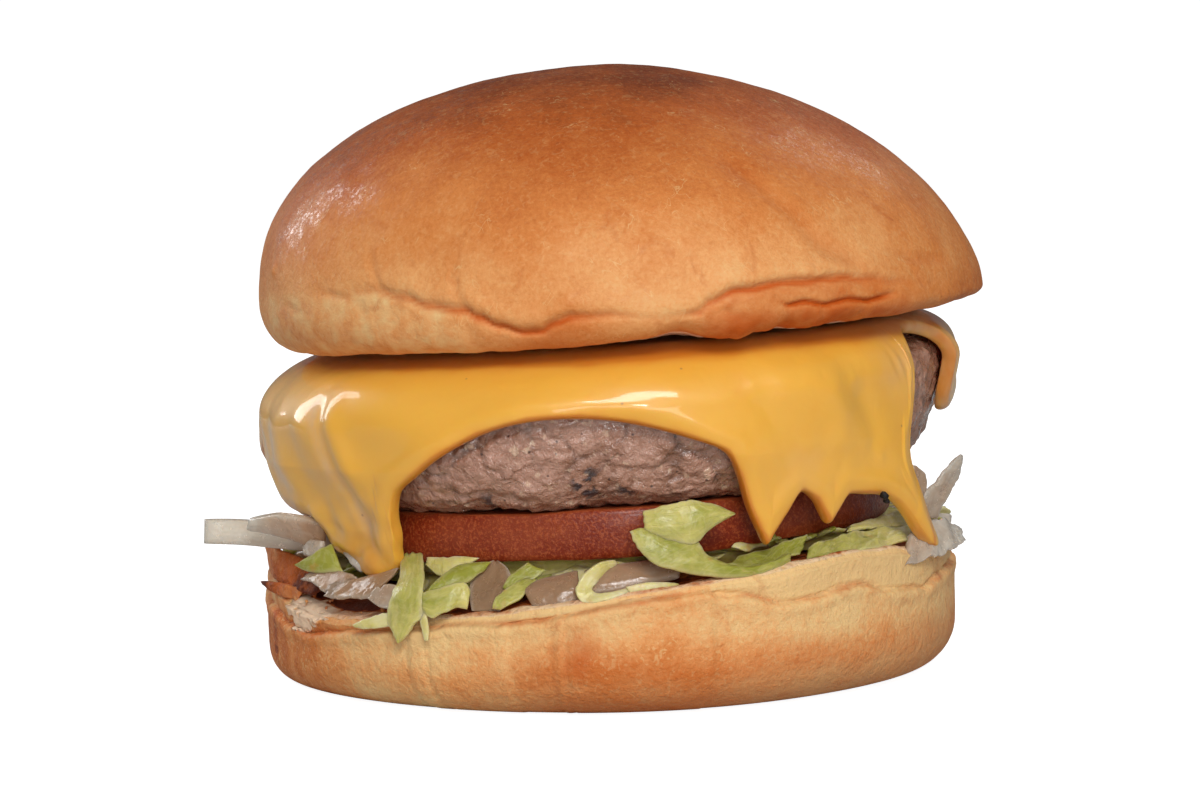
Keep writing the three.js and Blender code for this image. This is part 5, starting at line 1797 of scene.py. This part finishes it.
def char_material(colours):
    """Black seared scraps, dull where they are broken."""
    values = {"IOR": 1.45, "Coat Roughness": 0.3}
    material, make, shader = new_material("char", values)
    place = make.place()
    broad, fine = mottle(make, place, 1.2, 0.3)
    base = make.blend(make.span(fine, 0.3, 0.8, 0.0, 0.5), (0.004, 0.004, 0.004), colours.beef_dark)
    make.feed(shader.inputs["Base Color"], base)
    make.feed(shader.inputs["Roughness"], make.span(broad, 0.3, 0.7, 0.35, 0.75))
    make.feed(shader.inputs["Normal"], make.bump(fine, 0.1))
    return material


# ------------------------------------------------------------------ stage

# Target and distance in millimetres, elevation and roll in degrees.
CAMERA = dict(target=(-2.0, 0.0, 40.5), distance=510.0, elevation=5.0, roll=1.4, lens=100.0)
LIT_POINT = Vector((0.0, 0.0, 0.045))  # the middle of the burger
LIGHTS = {  # place, width, height and power
    "key": ((0.15, -1.1, 0.74), 0.6, 0.32, 10.1),
    "low fill": ((0.1, -1.2, 0.06), 0.7, 0.3, 3.2),
    "glint": ((0.12, -1.2, 0.34), 0.12, 0.09, 1.5),
    "left rim": ((-0.76, 0.55, 0.45), 0.3, 0.6, 3.3),
    "right rim": ((0.5, 0.75, 0.72), 0.25, 0.4, 1.1),
}
FLOOR_RADII = (0.0, 0.3, 1.2, 6.0)


def aim(place, target):
    """A turn that points -Z from `place` to `target`."""
    return (target - place).to_track_quat("-Z", "Y").to_matrix().to_4x4()


def add_camera():
    camera = bpy.data.objects.new("camera", bpy.data.cameras.new("camera"))
    camera.data.lens = CAMERA["lens"]
    camera.data.sensor_width = 36.0
    camera.data.clip_start = 0.01
    target = Vector(CAMERA["target"]) * MM
    lift = math.radians(CAMERA["elevation"])
    back = Vector((0.0, -math.cos(lift), math.sin(lift)))
    place = target + back * CAMERA["distance"] * MM
    roll = Matrix.Rotation(math.radians(-CAMERA["roll"]), 4, "Z")
    camera.matrix_world = Matrix.Translation(place) @ aim(place, target) @ roll
    bpy.context.scene.collection.objects.link(camera)
    bpy.context.scene.camera = camera


def add_light(name, place, width, height, power):
    light = bpy.data.lights.new(name, "AREA")
    light.shape = "RECTANGLE"
    light.size, light.size_y = width, height
    light.energy = power
    lamp = bpy.data.objects.new(name, light)
    place = Vector(place)
    lamp.matrix_world = Matrix.Translation(place) @ aim(place, LIT_POINT)
    bpy.context.scene.collection.objects.link(lamp)


def floor_material():
    """Matt white paper that glows a little for the camera, so that it stays near white."""
    values = {"Base Color": (0.6, 0.6, 0.6), "Specular IOR Level": 0.1, "Emission Strength": 0.93}
    material, make, shader = new_material("white paper", values)
    place = make.place()
    grain = make.clouds(place, 0.6, 3.0)
    make.feed(shader.inputs["Roughness"], make.span(grain, 0.3, 0.7, 0.85, 0.95))
    make.feed(shader.inputs["Normal"], make.bump(grain, 0.01))
    seen = make.add("ShaderNodeLightPath").outputs["Is Camera Ray"]
    glow = make.blend(seen, (0.0, 0.0, 0.0), (1.0, 1.0, 1.0))
    make.feed(shader.inputs["Emission Color"], glow)
    return material


def add_floor():
    """A round white floor, wide enough to fill every view."""
    bm = bmesh.new()
    rows = [bm.verts.new((r, 0.0, 0.0)) for r in FLOOR_RADII]
    edges = [bm.edges.new(pair) for pair in zip(rows, rows[1:])]
    bmesh.ops.spin(bm, geom=rows + edges, cent=(0, 0, 0), axis=(0, 0, 1), angle=2 * math.pi,
                   steps=96, use_merge=True)
    bmesh.ops.remove_doubles(bm, verts=bm.verts, dist=1e-6)
    bmesh.ops.recalc_face_normals(bm, faces=bm.faces)
    if bm.faces[:][0].normal.z < 0:
        bmesh.ops.reverse_faces(bm, faces=bm.faces)
    mesh = bpy.data.meshes.new("floor")
    bm.to_mesh(mesh)
    bm.free()
    floor = bpy.data.objects.new("floor", mesh)
    floor.data.materials.append(floor_material())
    bpy.context.scene.collection.objects.link(floor)


def add_world():
    """Soft white light from all round, brighter where the camera sees it."""
    world = bpy.data.worlds.new("studio")
    world.use_nodes = True
    world.node_tree.nodes.clear()
    make = NodeMaker(world.node_tree)
    seen = make.add("ShaderNodeLightPath").outputs["Is Camera Ray"]
    background = make.add("ShaderNodeBackground", {"Color": (1.0, 1.0, 1.0)})
    make.feed(background.inputs["Strength"], make.span(seen, 0.0, 1.0, 0.15, 1.05))
    output = make.add("ShaderNodeOutputWorld")
    make.feed(output.inputs["Surface"], background.outputs[0])
    bpy.context.scene.world = world


# ------------------------------------------------------------------ operators


class BURGER_OT_bottom_bun(bpy.types.Operator):
    """Build the wedge-shaped bottom bun with its torn rim and toasted cut face"""

    bl_idname = "burger.bottom_bun"
    bl_label = "Bottom Bun"

    def execute(self, context):
        colours = context.scene.burger_colours
        sizes = millimetres(context.scene.burger_heel)
        bread = bread_material("bottom bun crust", colours, wrinkle=0.12, speck=0.45,
                               grain=0.32, scratch_highlight=0.0)
        add_piece("bottom_bun_crust", build_heel(sizes), bread, "bun_crust", "bottom_bun")
        add_piece("toasted_flake", build_flake(), bread, "bun_crust")
        filling = context.scene.burger_filling
        add_piece("crumbs", build_crumbs(sizes, filling), bread, "bun_crust")
        return {"FINISHED"}


class BURGER_OT_lettuce(bpy.types.Operator):
    """Build the shredded heap and every leaf that shows"""

    bl_idname = "burger.lettuce"
    bl_label = "Lettuce"

    def execute(self, context):
        scene = context.scene
        leaf = leaf_material(scene.burger_colours)
        heel, sizes = millimetres(scene.burger_heel), millimetres(scene.burger_filling)
        bed = build_bed(sizes, heel, scene.burger_filling)
        add_piece("lettuce_shreds", bed, leaf, "lettuce", "lettuce_bed")
        for seed, (name, shape) in enumerate(LETTUCE.items()):
            bm = build_leaves(shape, thickness=sizes.leaf, seed=float(seed))
            add_piece(name + "_leaf", bm, leaf, "lettuce", name)
        return {"FINISHED"}


class BURGER_OT_onion(bpy.types.Operator):
    """Build the onion pieces"""

    bl_idname = "burger.onion"
    bl_label = "Onion"

    def execute(self, context):
        scene = context.scene
        onion = onion_material(scene.burger_colours)
        heel = millimetres(scene.burger_heel)
        for seed, (name, shape) in enumerate(ONION.items()):
            bm = build_leaves(shape, crinkle=0.12, seed=20.0 + seed)
            add_piece(name + "_slice", bm, onion, "onion", name)
        bits = build_onion_bits(heel, scene.burger_filling)
        add_piece("onion_bits", bits, onion, "onion")
        return {"FINISHED"}


class BURGER_OT_tomato(bpy.types.Operator):
    """Build the tomato slice"""

    bl_idname = "burger.tomato"
    bl_label = "Tomato"

    def execute(self, context):
        scene = context.scene
        bm = build_tomato(millimetres(scene.burger_layers))
        add_piece("tomato", bm, tomato_material(scene.burger_colours), "tomato", "tomato_slice")
        return {"FINISHED"}


class BURGER_OT_patty(bpy.types.Operator):
    """Build the ground beef patty"""

    bl_idname = "burger.patty"
    bl_label = "Patty"

    def execute(self, context):
        scene = context.scene
        bm = build_patty(millimetres(scene.burger_layers))
        add_piece("patty", bm, beef_material(scene.burger_colours), "beef", "beef_patty")
        return {"FINISHED"}


class BURGER_OT_cheese(bpy.types.Operator):
    """Build the melted slice and the char bits that stick to it"""

    bl_idname = "burger.cheese"
    bl_label = "Melted Cheese"

    def execute(self, context):
        scene = context.scene
        bm = build_cheese(millimetres(scene.burger_layers))
        add_piece("melted_cheese", bm, cheese_material(scene.burger_colours), "cheese", "cheese_slice")
        bits = [
            build_bit(polar(math.radians(at), r, z), size_mm, at) for at, r, z, size_mm in CHAR_BITS
        ]
        add_piece("char_bits", joined(bits), char_material(scene.burger_colours), "beef")
        return {"FINISHED"}


class BURGER_OT_top_bun(bpy.types.Operator):
    """Build the domed top bun with its folds"""

    bl_idname = "burger.top_bun"
    bl_label = "Top Bun"

    def execute(self, context):
        scene = context.scene
        bm = build_crown(millimetres(scene.burger_crown))
        bread = bread_material("top bun crust", scene.burger_colours, wrinkle=0.1, speck=0.12,
                               grain=0.12, scratch_highlight=0.45)
        add_piece("top_bun_crust", bm, bread, "bun_crust", "top_bun")
        return {"FINISHED"}


class BURGER_OT_stage(bpy.types.Operator):
    """Set up the white floor, the soft lights and the camera"""

    bl_idname = "burger.stage"
    bl_label = "Stage"

    def execute(self, context):
        add_floor()
        add_world()
        for name, light in LIGHTS.items():
            add_light(name, *light)
        context.scene.view_settings.view_transform = "Standard"
        add_camera()
        return {"FINISHED"}


class BURGER_PT_panel(bpy.types.Panel):
    """The burger's layers from the bottom bun up, and all its sizes and colours"""

    bl_idname = "BURGER_PT_panel"
    bl_label = "Cheeseburger"
    bl_space_type = "VIEW_3D"
    bl_region_type = "UI"
    bl_category = "Burger"

    def draw(self, context):
        for operator in OPERATORS:
            self.layout.operator(operator.bl_idname)
        for name in GROUPS:
            group = getattr(context.scene, name)
            column = self.layout.column(heading=name.replace("_", " "))
            for prop in group.bl_rna.properties:
                if prop.identifier not in ("rna_type", "name"):
                    column.prop(group, prop.identifier)


GROUPS = {
    "burger_heel": BurgerHeelSizes,
    "burger_crown": BurgerCrownSizes,
    "burger_layers": BurgerLayerSizes,
    "burger_filling": BurgerFillingSizes,
    "burger_colours": BurgerColours,
}
OPERATORS = (
    BURGER_OT_bottom_bun, BURGER_OT_lettuce, BURGER_OT_onion, BURGER_OT_tomato, BURGER_OT_patty,
    BURGER_OT_cheese, BURGER_OT_top_bun, BURGER_OT_stage,
)
CLASSES = (*GROUPS.values(), *OPERATORS, BURGER_PT_panel)


def register():
    for cls in CLASSES:
        bpy.utils.register_class(cls)
    for name, group in GROUPS.items():
        setattr(bpy.types.Scene, name, PointerProperty(type=group))


def unregister():
    for name in GROUPS:
        delattr(bpy.types.Scene, name)
    for cls in reversed(CLASSES):
        bpy.utils.unregister_class(cls)


def main():
    register()
    bpy.ops.burger.stage()
    bpy.ops.burger.bottom_bun()
    bpy.ops.burger.lettuce()
    bpy.ops.burger.onion()
    bpy.ops.burger.tomato()
    bpy.ops.burger.patty()
    bpy.ops.burger.cheese()
    bpy.ops.burger.top_bun()


if __name__ == "__main__":
    main()
